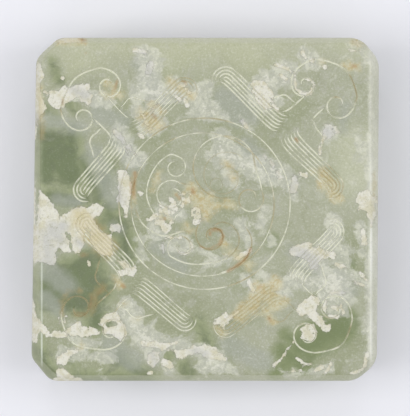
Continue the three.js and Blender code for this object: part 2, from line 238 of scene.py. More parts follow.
# Each half of a head, in this order. A spiral has an eye, two radii, a start, a sweep and three
# numbers for its shoulder. A barb, a band and its tip have a place and what sizes they need.
HALF_PARTS = ("eye", "outer", "inner", "start", "sweep", "flare", "fall", "hold",
              "stem", "barb", "band", "tip", "depth")
HEADS = {
    "back_left": {
        "turn": 135, "crown": 46.3,
        "left": ((5.7, 38.0), 2.75, 1.3, 69, 416, 3.2, 55, 2, ((3.85, 36.3), (3.85, 30.2)),
                 (4.0, 33.0, 5.4, 4.2, 0), (3.4, 28.6, 24.3), (17.8, 24.8, 3.0), 1.0),
        "right": ((4.6, 39.0), 2.75, 1.1, 70, 440, 2.3, 45, 3, ((2.4, 37.6), (2.4, 30.2)),
                  (2.4, 33.2, 5.3, 4.2, 0), (1.0, 28.0, 24.0), (17.2, 24.9, 3.2), 0.7),
    },
    "back_right": {
        "turn": 45, "crown": 49.4,
        "left": ((4.6, 39.4), 2.85, 0.6, 70, 470, 4.3, 50, 3, ((2.6, 37.6), (3.2, 31.8)),
                 (2.8, 34.8, 4.3, 3.8, 0.4), (1.2, 29.9, 25.6), (19.3, 26.3, 3.4), 1.0),
        "right": ((5.0, 41.8), 3.2, 0.9, 70, 370, 1.95, 30, 3, ((2.9, 39.0), (2.9, 34.8)),
                  (2.9, 34.9, 5.7, 5.0, 1.3), (0.8, 29.4, 24.8), (17.8, 26.2, 3.2), 0.9),
    },
    "front_left": {
        "turn": 225, "crown": 47.1,
        "left": ((4.9, 38.0), 3.1, 1.0, 72, 430, 2.2, 45, 3, ((2.0, 34.8), (1.8, 29.8)),
                 (2.0, 31.9, 6.0, 4.6, 0), (0.6, 27.1, 22.6), (15.7, 23.2, 2.8), 0.8),
        "right": ((5.0, 40.0), 3.6, 1.2, 75, 400, 1.4, 30, 1.2, ((2.6, 36.4), (2.4, 29.8)),
                  (2.6, 32.0, 6.0, 4.6, 0), (2.0, 26.6, 22.2), (18.2, 23.6, 2.9), 0.9),
    },
    "front_right": {
        "turn": 315, "crown": 47.9,
        "left": ((4.8, 40.0), 3.3, 1.2, 75, 420, 2.3, 45, 2, ((3.8, 36.0), (3.8, 30.4)),
                 (3.8, 34.4, 5.6, 4.6, 0), (3.0, 29.6, 25.2), (18.1, 26.0, 3.3), 0.8),
        "right": ((4.4, 39.9), 3.1, 1.4, 71, 435, 1.9, 40, 2.5, ((2.0, 36.6), (2.0, 30.2)),
                  (2.4, 33.3, 5.4, 5.3, 0), (1.8, 28.2, 24.2), (17.0, 24.0, 3.0), 0.7),
    },
}
LEAF = ((0, 0, 0), (0.3, -0.02, 0.6), (0.62, 0.02, 1), (0.86, -0.12, 0.6), (1.0, -0.45, 0), (1.25, -1, 0))


def head_half(values):
    """The spiral, stem, barb and band of one half, on the right of its own middle line."""
    half = dict(zip(HALF_PARTS, values))
    curl = spiral(half["eye"], half["outer"], half["inner"], half["start"], -half["sweep"],
                  half["flare"], half["fall"], half["hold"])
    (top_x, top_y), (foot_x, foot_y) = half["stem"]
    stem = flow([(top_x, top_y), (foot_x, foot_y), (foot_x + 0.7, foot_y - 1.1)])
    x, y, reach, drop, droop = half["barb"]
    barb = flow([(x + reach * out, y + drop * down - droop * sag) for out, down, sag in LEAF])
    near, top, bottom = half["band"]
    tip_x, tip_y, radius = half["tip"]
    lines = [stem, barb]
    for i in range(BAND_LINES):
        level = top + (bottom - top) * i / (BAND_LINES - 1)
        begin = near + BAND_STEP * (BAND_LINES - 1 - i)
        bend = radius - BAND_PITCH * i
        line = [(begin, level + 1.0), (begin + 1.1, level + 0.3), (begin + 3.2, level)]
        if bend > 0.5:
            line += arc((tip_x, tip_y), bend, 90, -(150 - 12 * i), 18)
        else:
            line += [(tip_x - 0.5, tip_y + bend), (tip_x + 0.9, tip_y + bend - 0.35)]
        lines.append(flow(line))
    return curl, lines


def corner_lines(head):
    """All lines of one corner head, turned to its corner, each with its depth share."""
    turn = math.radians(head["turn"])
    out, across = (math.cos(turn), math.sin(turn)), (math.sin(turn), -math.cos(turn))
    made, curls = [], {}
    for side, sign in (("left", -1), ("right", 1)):
        curl, lines = head_half(head[side])
        curls[side] = [(sign * x, y) for x, y in curl]
        made += [([(sign * x, y) for x, y in line], head[side][-1]) for line in lines]
    made.append((flow(curls["left"][::-1] + [(0, head["crown"])] + curls["right"]), 1.0))
    return [([(across[0] * x + out[0] * y, across[1] * x + out[1] * y) for x, y in line], depth)
            for line, depth in made]


cut_lines = medallion_lines()
for head in HEADS.values():
    cut_lines += corner_lines(head)
cut_lines = [([(x + CARVING[0], y + CARVING[1]) for x, y in line], depth) for line, depth in cut_lines]
print("cut lines:", len(cut_lines), "with", sum(len(line) for line, _ in cut_lines), "points")

# %% [markdown]
# ## The carved face
#
# A cut line is only half a millimetre wide, so an even mesh would have to be very fine to
# show it. Instead the mesh of the face follows the lines: each one brings seven rows of
# points, and the space between is filled with a loose field of points and triangulated.
# The line itself is kept too, as a chain of edges that knows how deep it was cut. A line
# that ends in the open was begun and left gently, so its cut rises towards its ends.

# %% Rows of points beside each line
CUT_HALF, CUT_DEPTH, RUN_OUT, START_SHARE = 0.23, 0.24, 1.4, 0.45
POWDER_REACH = 1.5
ROW_STEP, CLOSED_GAP = 0.55, 0.01


def even_steps(line, step):
    line = np.array(line)
    lengths = np.concatenate(((0,), np.cumsum(np.linalg.norm(np.diff(line, axis=0), axis=1))))
    at = np.linspace(0, lengths[-1], max(2, round(lengths[-1] / step)) + 1)
    return np.stack([np.interp(at, lengths, line[:, k]) for k in (0, 1)], 1), at


def cut_shares(at, closed):
    if closed:
        return np.ones(len(at))
    to_end = np.minimum(at, at[-1] - at) / RUN_OUT
    return np.minimum(1, START_SHARE + (1 - START_SHARE) * to_end)


chain_points, chain_edges, chain_cuts = [], [], []
row_points, row_edges = [], []
for line, depth in cut_lines:
    closed = math.dist(line[0], line[-1]) < CLOSED_GAP
    middle, at = even_steps(line, ROW_STEP)
    shares = cut_shares(at, closed)
    along = np.gradient(middle, axis=0)
    if closed:
        along[0] = along[-1] = middle[1] - middle[-2]
    along /= np.linalg.norm(along, axis=1)[:, None]
    left = np.stack((-along[:, 1], along[:, 0]), 1)
    first = len(chain_points)
    chain_points += list(middle)
    chain_cuts += list(shares * depth)
    chain_edges += [(first + i, first + i + 1) for i in range(len(middle) - 1)]
    for offset in (-POWDER_REACH, -1, -0.5, 0, 0.5, 1, POWDER_REACH):
        row = middle + left * (CUT_HALF * offset * shares)[:, None]
        first = len(row_points)
        if closed:
            row = row[:-1]
        row_points += list(row)
        row_edges += [(first + i, first + i + 1) for i in range(len(row) - 1)]
        if closed:
            row_edges.append((first + len(row) - 1, first))
print("rows hold", len(row_points), "points")

# %% The face, triangulated around the rows
FIELD_STEP, FIELD_PITCH, FIELD_JITTER = 0.5, 0.866, 0.07
FIELD_ROWS, FIELD_COLUMNS = 100, 86
LINE_MARGIN, EDGE_MARGIN, CORNER_MARGIN = 0.48, 0.3, 0.4
INNER_TRIANGLES, SAME_POINT = 1, 0.004
dice = np.random.default_rng(7)
taken = kdtree.KDTree(len(chain_points) + len(face_loop))
for i, (x, y) in enumerate([*chain_points, *face_loop]):
    taken.insert((x, y, 0), i)
taken.balance()


def is_free(x, y):
    """Whether a loose point lies on the face, clear of its edge and of every cut line."""
    out_x, out_y = abs(x - FACE_MIDDLE[0]), abs(y - FACE_MIDDLE[1])
    share = max(out_x / (FACE_WIDTH / 2 - EDGE_MARGIN), out_y / (FACE_DEPTH / 2 - EDGE_MARGIN))
    corner = out_x + out_y < (FACE_WIDTH + FACE_DEPTH) / 2 - FACE_CUT - CORNER_MARGIN
    return share < 1 and corner and taken.find((x, y, 0))[2] > LINE_MARGIN


field = []
for j in range(-FIELD_ROWS, FIELD_ROWS + 1):
    for i in range(-FIELD_COLUMNS, FIELD_COLUMNS + 1):
        x = (i + 0.5 * (j % 2)) * FIELD_STEP + dice.uniform(-FIELD_JITTER, FIELD_JITTER) + FACE_MIDDLE[0]
        y = j * FIELD_STEP * FIELD_PITCH + dice.uniform(-FIELD_JITTER, FIELD_JITTER) + FACE_MIDDLE[1]
        if is_free(x, y):
            field.append((x, y))
rim = [tuple(p) for p in face_loop]
given = [Vector(p) for p in (*rim, *field, *map(tuple, row_points))]
shift = len(rim) + len(field)
ties = [(shift + a, shift + b) for a, b in row_edges]
made = geometry.delaunay_2d_cdt(given, ties, [list(range(len(rim)))], INNER_TRIANGLES, SAME_POINT)
face_points, face_triangles = made[0], made[2]
print("carved face:", len(face_points), "points,", len(face_triangles), "triangles")

# %% [markdown]
# ## Helpers for node trees
#
# Node trees are built in the script. `Wire` wraps the output of a node, so that values in a
# tree are added and multiplied as numbers are. `Tree` makes every other node. The functions
# after them start and end a geometry tree, make objects, and put a tree to work on one.


# %% Node tree helpers
class Wire:
    def __init__(self, tree, socket):
        self.tree, self.socket = tree, socket

    def __add__(self, other):
        return self.tree.maths("ADD", self, other)

    def __sub__(self, other):
        return self.tree.maths("SUBTRACT", self, other)

    def __rsub__(self, other):
        return self.tree.maths("SUBTRACT", other, self)

    def __mul__(self, other):
        return self.tree.maths("MULTIPLY", self, other)

    def __truediv__(self, other):
        return self.tree.maths("DIVIDE", self, other)

    __radd__, __rmul__ = __add__, __mul__

    def between(self, low, high):
        """0 at low, 1 at high, soft at both ends."""
        node = self.tree.add("ShaderNodeMapRange", {"interpolation_type": "SMOOTHSTEP"},
                             {"Value": self, "From Min": low, "From Max": high})
        return self.tree.wire(node)

    def limit(self):
        return self.tree.maths("MINIMUM", self.tree.maths("MAXIMUM", self, 0.0), 1.0)


class Tree:
    def __init__(self, nodes):
        self.nodes = nodes
        nodes.nodes.clear()

    def add(self, kind, settings=None, inputs=None):
        node = self.nodes.nodes.new(kind)
        for name, value in (settings or {}).items():
            setattr(node, name, value)
        for name, value in (inputs or {}).items():
            if isinstance(value, Wire):
                self.nodes.links.new(value.socket, node.inputs[name])
            else:
                node.inputs[name].default_value = value
        return node

    def wire(self, node, output=0):
        return Wire(self, node.outputs[output])

    def maths(self, operation, *values):
        return self.wire(self.add("ShaderNodeMath", {"operation": operation}, dict(enumerate(values))))

    def vector(self, operation, *values):
        return self.wire(self.add("ShaderNodeVectorMath", {"operation": operation}, dict(enumerate(values))))

    def field(self, name, kind="FLOAT"):
        node = self.add("GeometryNodeInputNamedAttribute", {"data_type": kind}, {"Name": name})
        return self.wire(node, "Attribute")


def geometry_tree(name, inputs):
    """A new geometry tree, with a wire for the geometry and for each named input."""
    nodes = bpy.data.node_groups.new(name, "GeometryNodeTree")
    for way in ("INPUT", "OUTPUT"):
        nodes.interface.new_socket("Geometry", in_out=way, socket_type="NodeSocketGeometry")
    for label, kind in inputs.items():
        nodes.interface.new_socket(label, in_out="INPUT", socket_type="NodeSocket" + kind)
    tree = Tree(nodes)
    source = tree.add("NodeGroupInput")
    return tree, {label: tree.wire(source, label) for label in ("Geometry", *inputs)}


def object_shape(tree, which):
    return tree.wire(tree.add("GeometryNodeObjectInfo", None, {"Object": which}), "Geometry")


def hand_out(tree, shape, material):
    """Make a shape real, give it its material and hand it out of the tree."""
    real = tree.add("GeometryNodeRealizeInstances", None, {"Geometry": shape})
    coated = tree.add("GeometryNodeSetMaterial", None, {"Geometry": tree.wire(real), "Material": material})
    tree.add("NodeGroupOutput", None, {"Geometry": tree.wire(coated)})


def placed(name, data):
    made = bpy.data.objects.new(name, data)
    bpy.context.scene.collection.objects.link(made)
    return made


def shape_object(name, points, edges=(), faces=(), fields=None):
    """A mesh from points in millimetres, with a named number or direction at every point."""
    mesh = bpy.data.meshes.new(name)
    mesh.from_pydata([tuple(MM * float(v) for v in p) for p in points], list(edges), list(faces))
    for label, values in (fields or {}).items():
        flat = np.array(values, float)
        kind = "FLOAT_VECTOR" if flat.ndim == 2 else "FLOAT"
        slot = "vector" if flat.ndim == 2 else "value"
        mesh.attributes.new(label, kind, "POINT").data.foreach_set(slot, flat.ravel())
    return placed(name, mesh)


def worked(name, start, group, values):
    """The plain mesh that a geometry tree makes of a starting object."""
    modifier = start.modifiers.new("work", "NODES")
    modifier.node_group = group
    for item in group.interface.items_tree:
        if item.in_out == "INPUT" and item.name in values:
            modifier[item.identifier] = values[item.name]
    start.update_tag()
    view = bpy.context.evaluated_depsgraph_get()
    mesh = bpy.data.meshes.new_from_object(
        start.evaluated_get(view), preserve_all_data_layers=True, depsgraph=view)
    start.modifiers.remove(modifier)
    mesh.name = name
    return placed(name, mesh)


jade = bpy.data.materials.new("jade")
jade.use_nodes = True
print("helpers ready")

# %% [markdown]
# ## Walls that follow the outline
#
# Base and lid are both one long profile taken round the outline: up the outside, over the
# rim, down the inside and across the floor. So one geometry tree makes both. It lays a grid,
# with the profile's stations one way and the outline's points the other way, then moves each
# grid point to its place. A station says how far it lies from the outline towards the carved
# face's edge, towards the innermost loop and towards the middle, and how high it is. The
# loops are blended, not offset, so the grid can't fold where a corner is tight.

# %% A tree that takes a profile round the outline
DEEPEST = WALL + COVE
inner_loop = outer_loop(DEEPEST)
outline_count = len(side_loop)
outline = shape_object("outline", [(x, y, 0) for x, y in side_loop],
                       fields={"to_face": np.c_[face_loop - side_loop, np.zeros(outline_count)] * MM,
                               "to_inner": np.c_[inner_loop - side_loop, np.zeros(outline_count)] * MM})

tree, given = geometry_tree("profile round outline", {
    "Outline Points": "Int", "Profile": "Object", "Stations": "Int", "Middle": "Vector",
    "Cover": "Object", "Weld": "Float", "Material": "Material"})
profile, cover = object_shape(tree, given["Profile"]), object_shape(tree, given["Cover"])
columns = given["Outline Points"]
grid = tree.add("GeometryNodeMeshGrid", None, {
    "Size X": 1.0, "Size Y": 1.0, "Vertices X": given["Stations"], "Vertices Y": columns + 1})
number = tree.wire(tree.add("GeometryNodeInputIndex"))
station = tree.maths("FLOOR", (number + 0.5) / (columns + 1))
along = tree.maths("MODULO", number - station * (columns + 1), columns)


def sampled(shape, value, index, kind="FLOAT"):
    node = tree.add("GeometryNodeSampleIndex", {"data_type": kind, "clamp": True},
                    {"Geometry": shape, "Value": value, "Index": index})
    return tree.wire(node)


def moved_on(start, way, share):
    scaled = tree.add("ShaderNodeVectorMath", {"operation": "SCALE"}, {0: way, "Scale": share})
    return tree.vector("ADD", start, tree.wire(scaled))


place = tree.wire(tree.add("GeometryNodeInputPosition"))
spot = sampled(given["Geometry"], place, along, "FLOAT_VECTOR")
for towards in ("to_face", "to_inner"):
    reach = sampled(profile, tree.field(towards), station)
    way = sampled(given["Geometry"], tree.field(towards, "FLOAT_VECTOR"), along, "FLOAT_VECTOR")
    spot = moved_on(spot, way, reach)
to_middle = sampled(profile, tree.field("to_middle"), station)
spot = moved_on(spot, tree.vector("SUBTRACT", given["Middle"], spot), to_middle)
spot = tree.vector("ADD", spot, sampled(profile, place, station, "FLOAT_VECTOR"))
moved = tree.add("GeometryNodeSetPosition", None, {"Geometry": tree.wire(grid, "Mesh"), "Position": spot})
joined = tree.add("GeometryNodeJoinGeometry")
for part in (tree.wire(moved), cover):
    tree.nodes.links.new(part.socket, joined.inputs[0])
welded = tree.add("GeometryNodeMergeByDistance", None,
                  {"Geometry": tree.wire(joined), "Distance": given["Weld"]})
hand_out(tree, tree.wire(welded), given["Material"])
wall_tree = tree.nodes
print("tree nodes:", len(wall_tree.nodes))

# %% [markdown]
# ## The profiles
#
# A profile is a list of stations: height, share towards the face's edge, share towards the
# innermost loop and share towards the middle. Long straight stretches are divided, because
# the stain fields are painted on the points.


# %% Profile helpers
STATION_STEP, MIDDLE_REACH, SEAM_WELD = 1.3, 30.0, 0.002
# The round where floor meets wall: share of the cove upwards, share of it inwards
COVE_CURVE = ((1.0, 0.0), (0.62, 0.08), (0.3, 0.3), (0.08, 0.62), (0.0, 1.0))


def station_run(stations):
    made = [stations[0]]
    for a, b in zip(stations, stations[1:]):
        a, b = np.array(a, float), np.array(b, float)
        span = abs(b[0] - a[0]) + abs(b[2] - a[2]) * DEEPEST + abs(b[3] - a[3]) * MIDDLE_REACH
        count = max(1, math.ceil(span / STATION_STEP))
        made += [tuple(a + (b - a) * i / count) for i in range(1, count + 1)]
    return made


def profile_object(name, stations):
    z, to_face, to_inner, to_middle = np.array(stations).T
    return shape_object(name, [(0, 0, height) for height in z],
                        fields={"to_face": to_face, "to_inner": to_inner, "to_middle": to_middle})


def walls(name, stations, cover):
    profile = profile_object(name + "_profile", stations)
    made = worked(name, outline, wall_tree, {
        "Outline Points": outline_count, "Profile": profile, "Stations": len(stations),
        "Middle": (0.0, 0.0, 0.0), "Cover": cover, "Weld": SEAM_WELD * MM, "Material": jade})
    bpy.data.objects.remove(profile)
    print(name, "points:", len(made.data.vertices), "faces:", len(made.data.polygons))
    return made


def inset(distance):
    return distance / DEEPEST


def cove(level, way):
    """The stations of the round between a wall and a level, whose wall side lies up or down."""
    return [(level + way * COVE * up, 0, inset(WALL + COVE * further), 0) for up, further in COVE_CURVE]


print("innermost loop lies", DEEPEST, "mm in")

# %% The base
LIP_IN, LIP_TOP = WALL - LIP_THICKNESS, BASE_HEIGHT + LIP_HEIGHT
# The worn foot: height, share of the foot's bevel
FOOT_CURVE = ((0.0, 1.0), (0.3, 0.62), (0.6, 0.3), (1.0, 0.08), (1.3, 0.0))
base_stations = [(0, 0, inset(FOOT_BEVEL), 1)]
base_stations += [(up, 0, inset(FOOT_BEVEL) * share, 0) for up, share in FOOT_CURVE]
base_stations += [(height, 0, inset(distance), 0) for height, distance in (
    (BASE_HEIGHT - SEAM_BEVEL, 0), (BASE_HEIGHT - SEAM_EASE, SEAM_EASE), (BASE_HEIGHT, SEAM_BEVEL),
    (BASE_HEIGHT, LIP_IN), (LIP_TOP - SEAM_BEVEL, LIP_IN), (LIP_TOP - SEAM_EASE, LIP_IN + SEAM_EASE),
    (LIP_TOP, LIP_IN + SEAM_BEVEL), (LIP_TOP, WALL - LIP_EASE), (LIP_TOP - LIP_EASE, WALL))]
base_stations += cove(FLOOR, 1)
base_stations.append((FLOOR, 0, inset(DEEPEST), 1))
base = walls("jade_base", station_run(base_stations), None)

# %% [markdown]
# ## The lid
#
# The lid's profile starts in the middle of its hollow, goes down the recess, out under the
# seam and up the side, and ends over the soft bevel at the edge of the carved face. The bevel
# was rubbed down by hand, so it is nearly flat beside the face and steep where it meets the
# side.

# %% The lid's walls and face
# The bevel: share of the way from the face's edge to the side, fall in millimetres
BEVEL = ((0, 0), (0.06, 0.02), (0.12, 0.07), (0.2, 0.18), (0.32, 0.38), (0.5, 0.75), (0.68, 1.15),
         (0.82, 1.5), (0.92, 1.85), (0.98, 2.25), (1, 2.7))
RECESS_IN, RECESS_TOP = LIP_IN - LIP_CLEARANCE, LIP_TOP + LIP_CLEARANCE
CEILING = TOP - LID_TOP
lid_stations = [(CEILING, 0, inset(DEEPEST), 1)]
lid_stations += cove(CEILING, -1)[::-1]
lid_stations += [(height, 0, inset(distance), 0) for height, distance in (
    (RECESS_TOP, WALL), (RECESS_TOP, RECESS_IN), (BASE_HEIGHT, RECESS_IN), (BASE_HEIGHT, SEAM_BEVEL),
    (BASE_HEIGHT + SEAM_EASE, SEAM_EASE), (BASE_HEIGHT + SEAM_BEVEL, 0), (TOP - BEVEL[-1][1], 0))]
lid_stations = station_run(lid_stations)
lid_stations += [(TOP - drop, 1 - share, 0, 0) for share, drop in BEVEL[-2::-1]]
face_cover = shape_object("carved_face", [(x, y, TOP) for x, y in face_points], faces=face_triangles)
lid_blank = walls("lid_blank", lid_stations, face_cover)

# %% [markdown]
# ## Cutting the lines
#
# A geometry tree sinks the blank where the chain of edges passes. It measures how far each
# point lies from the nearest edge, looks up how deep that edge was cut, and moves the point
# down. The section is a V with rounded sides, as a small wheel leaves it, and half full of
# powder. How near a point lies is stored too, because the powder smears past the cut.

# %% A tree that cuts lines
# A line cut to less than 0.8 of the full depth is narrower too
WIDTH_GAIN, SECTION_BULGE = 1.25, 0.6
chain = shape_object("cut_chain", [(x, y, TOP) for x, y in chain_points], edges=chain_edges,
                     fields={"cut": chain_cuts})
tree, given = geometry_tree("cut lines", {
    "Lines": "Object", "Half Width": "Float", "Depth": "Float", "Powder Reach": "Float",
    "Material": "Material"})
lines_shape = object_shape(tree, given["Lines"])
near_edge = tree.add("GeometryNodeProximity", {"target_element": "EDGES"}, {0: lines_shape})
near_point = tree.add("GeometryNodeSampleNearest", {"domain": "POINT"}, {0: lines_shape})
cut = sampled(lines_shape, tree.field("cut"), tree.wire(near_point))
width = given["Half Width"] * tree.maths("MINIMUM", cut * WIDTH_GAIN, 1.0)
gap = tree.wire(near_edge, "Distance") / width
groove = (1.0 - gap).limit()
powder = (1.0 - gap / given["Powder Reach"]).limit()
sunk = groove * (1.0 + SECTION_BULGE - SECTION_BULGE * groove) * cut * given["Depth"]
kept = tree.add("GeometryNodeStoreNamedAttribute", {"data_type": "FLOAT", "domain": "POINT"},
                {"Geometry": given["Geometry"], "Name": "powder", "Value": powder * cut})
down = tree.add("ShaderNodeCombineXYZ", None, {"Z": 0.0 - sunk})
moved = tree.add("GeometryNodeSetPosition", None,
                 {"Geometry": tree.wire(kept), "Offset": tree.wire(down)})
hand_out(tree, tree.wire(moved), given["Material"])
lid = worked("jade_lid", lid_blank, tree.nodes, {
    "Lines": chain, "Half Width": CUT_HALF * MM, "Depth": CUT_DEPTH * MM, "Powder Reach": POWDER_REACH,
    "Material": jade})
for helper in (lid_blank, face_cover, chain, outline):
    bpy.data.objects.remove(helper)
print("lid points:", len(lid.data.vertices))

# %% [markdown]
# ## Closing the skins
#
# Both meshes are welded, checked for open edges and turned outward. Then the stone is made a
# little uneven, because it was ground flat by hand: every side point moves inwards by up to
# a few hundredths of a millimetre, over slow waves.

# %% Weld, check and make uneven
WAVE_LENGTH, WAVE_DEPTH, LEAST_DEPTH = 17.0, 0.05, 0.01
SIDE_FROM, SIDE_TOP = 40.5, TOP - 0.2
WELD, SHARP_ANGLE = 0.001, 38


def ground_by_hand(point):
    """How far a side point lies inside the true plane, in metres."""
    at = Vector(point) / (WAVE_LENGTH * MM)
    return (LEAST_DEPTH + WAVE_DEPTH * (0.5 + 0.5 * noise.noise(at))) * MM


for piece in (base, lid):
    work = bmesh.new()
    work.from_mesh(piece.data)
    bmesh.ops.remove_doubles(work, verts=work.verts, dist=WELD * MM)
    bmesh.ops.dissolve_degenerate(work, edges=work.edges, dist=WELD * MM)
    bmesh.ops.recalc_face_normals(work, faces=work.faces)
    for vertex in work.verts:
        x, y, z = vertex.co
        reach = max(abs(x), abs(y))
        if reach > SIDE_FROM * MM and z < SIDE_TOP * MM:
            pull = 1 - ground_by_hand(vertex.co) / reach
            vertex.co.x, vertex.co.y = x * pull, y * pull
    bmesh.ops.triangulate(work, faces=work.faces)
    open_edges = sum(not edge.is_manifold for edge in work.edges)
    volume = work.calc_volume(signed=True)
    work.to_mesh(piece.data)
    work.free()
    piece.data.shade_smooth()
    piece.data.set_sharp_from_angle(angle=math.radians(SHARP_ANGLE))
    print(piece.name, "open edges:", open_edges, "volume, cm3:", round(volume * 1e6, 1),
          "triangles:", len(piece.data.polygons))
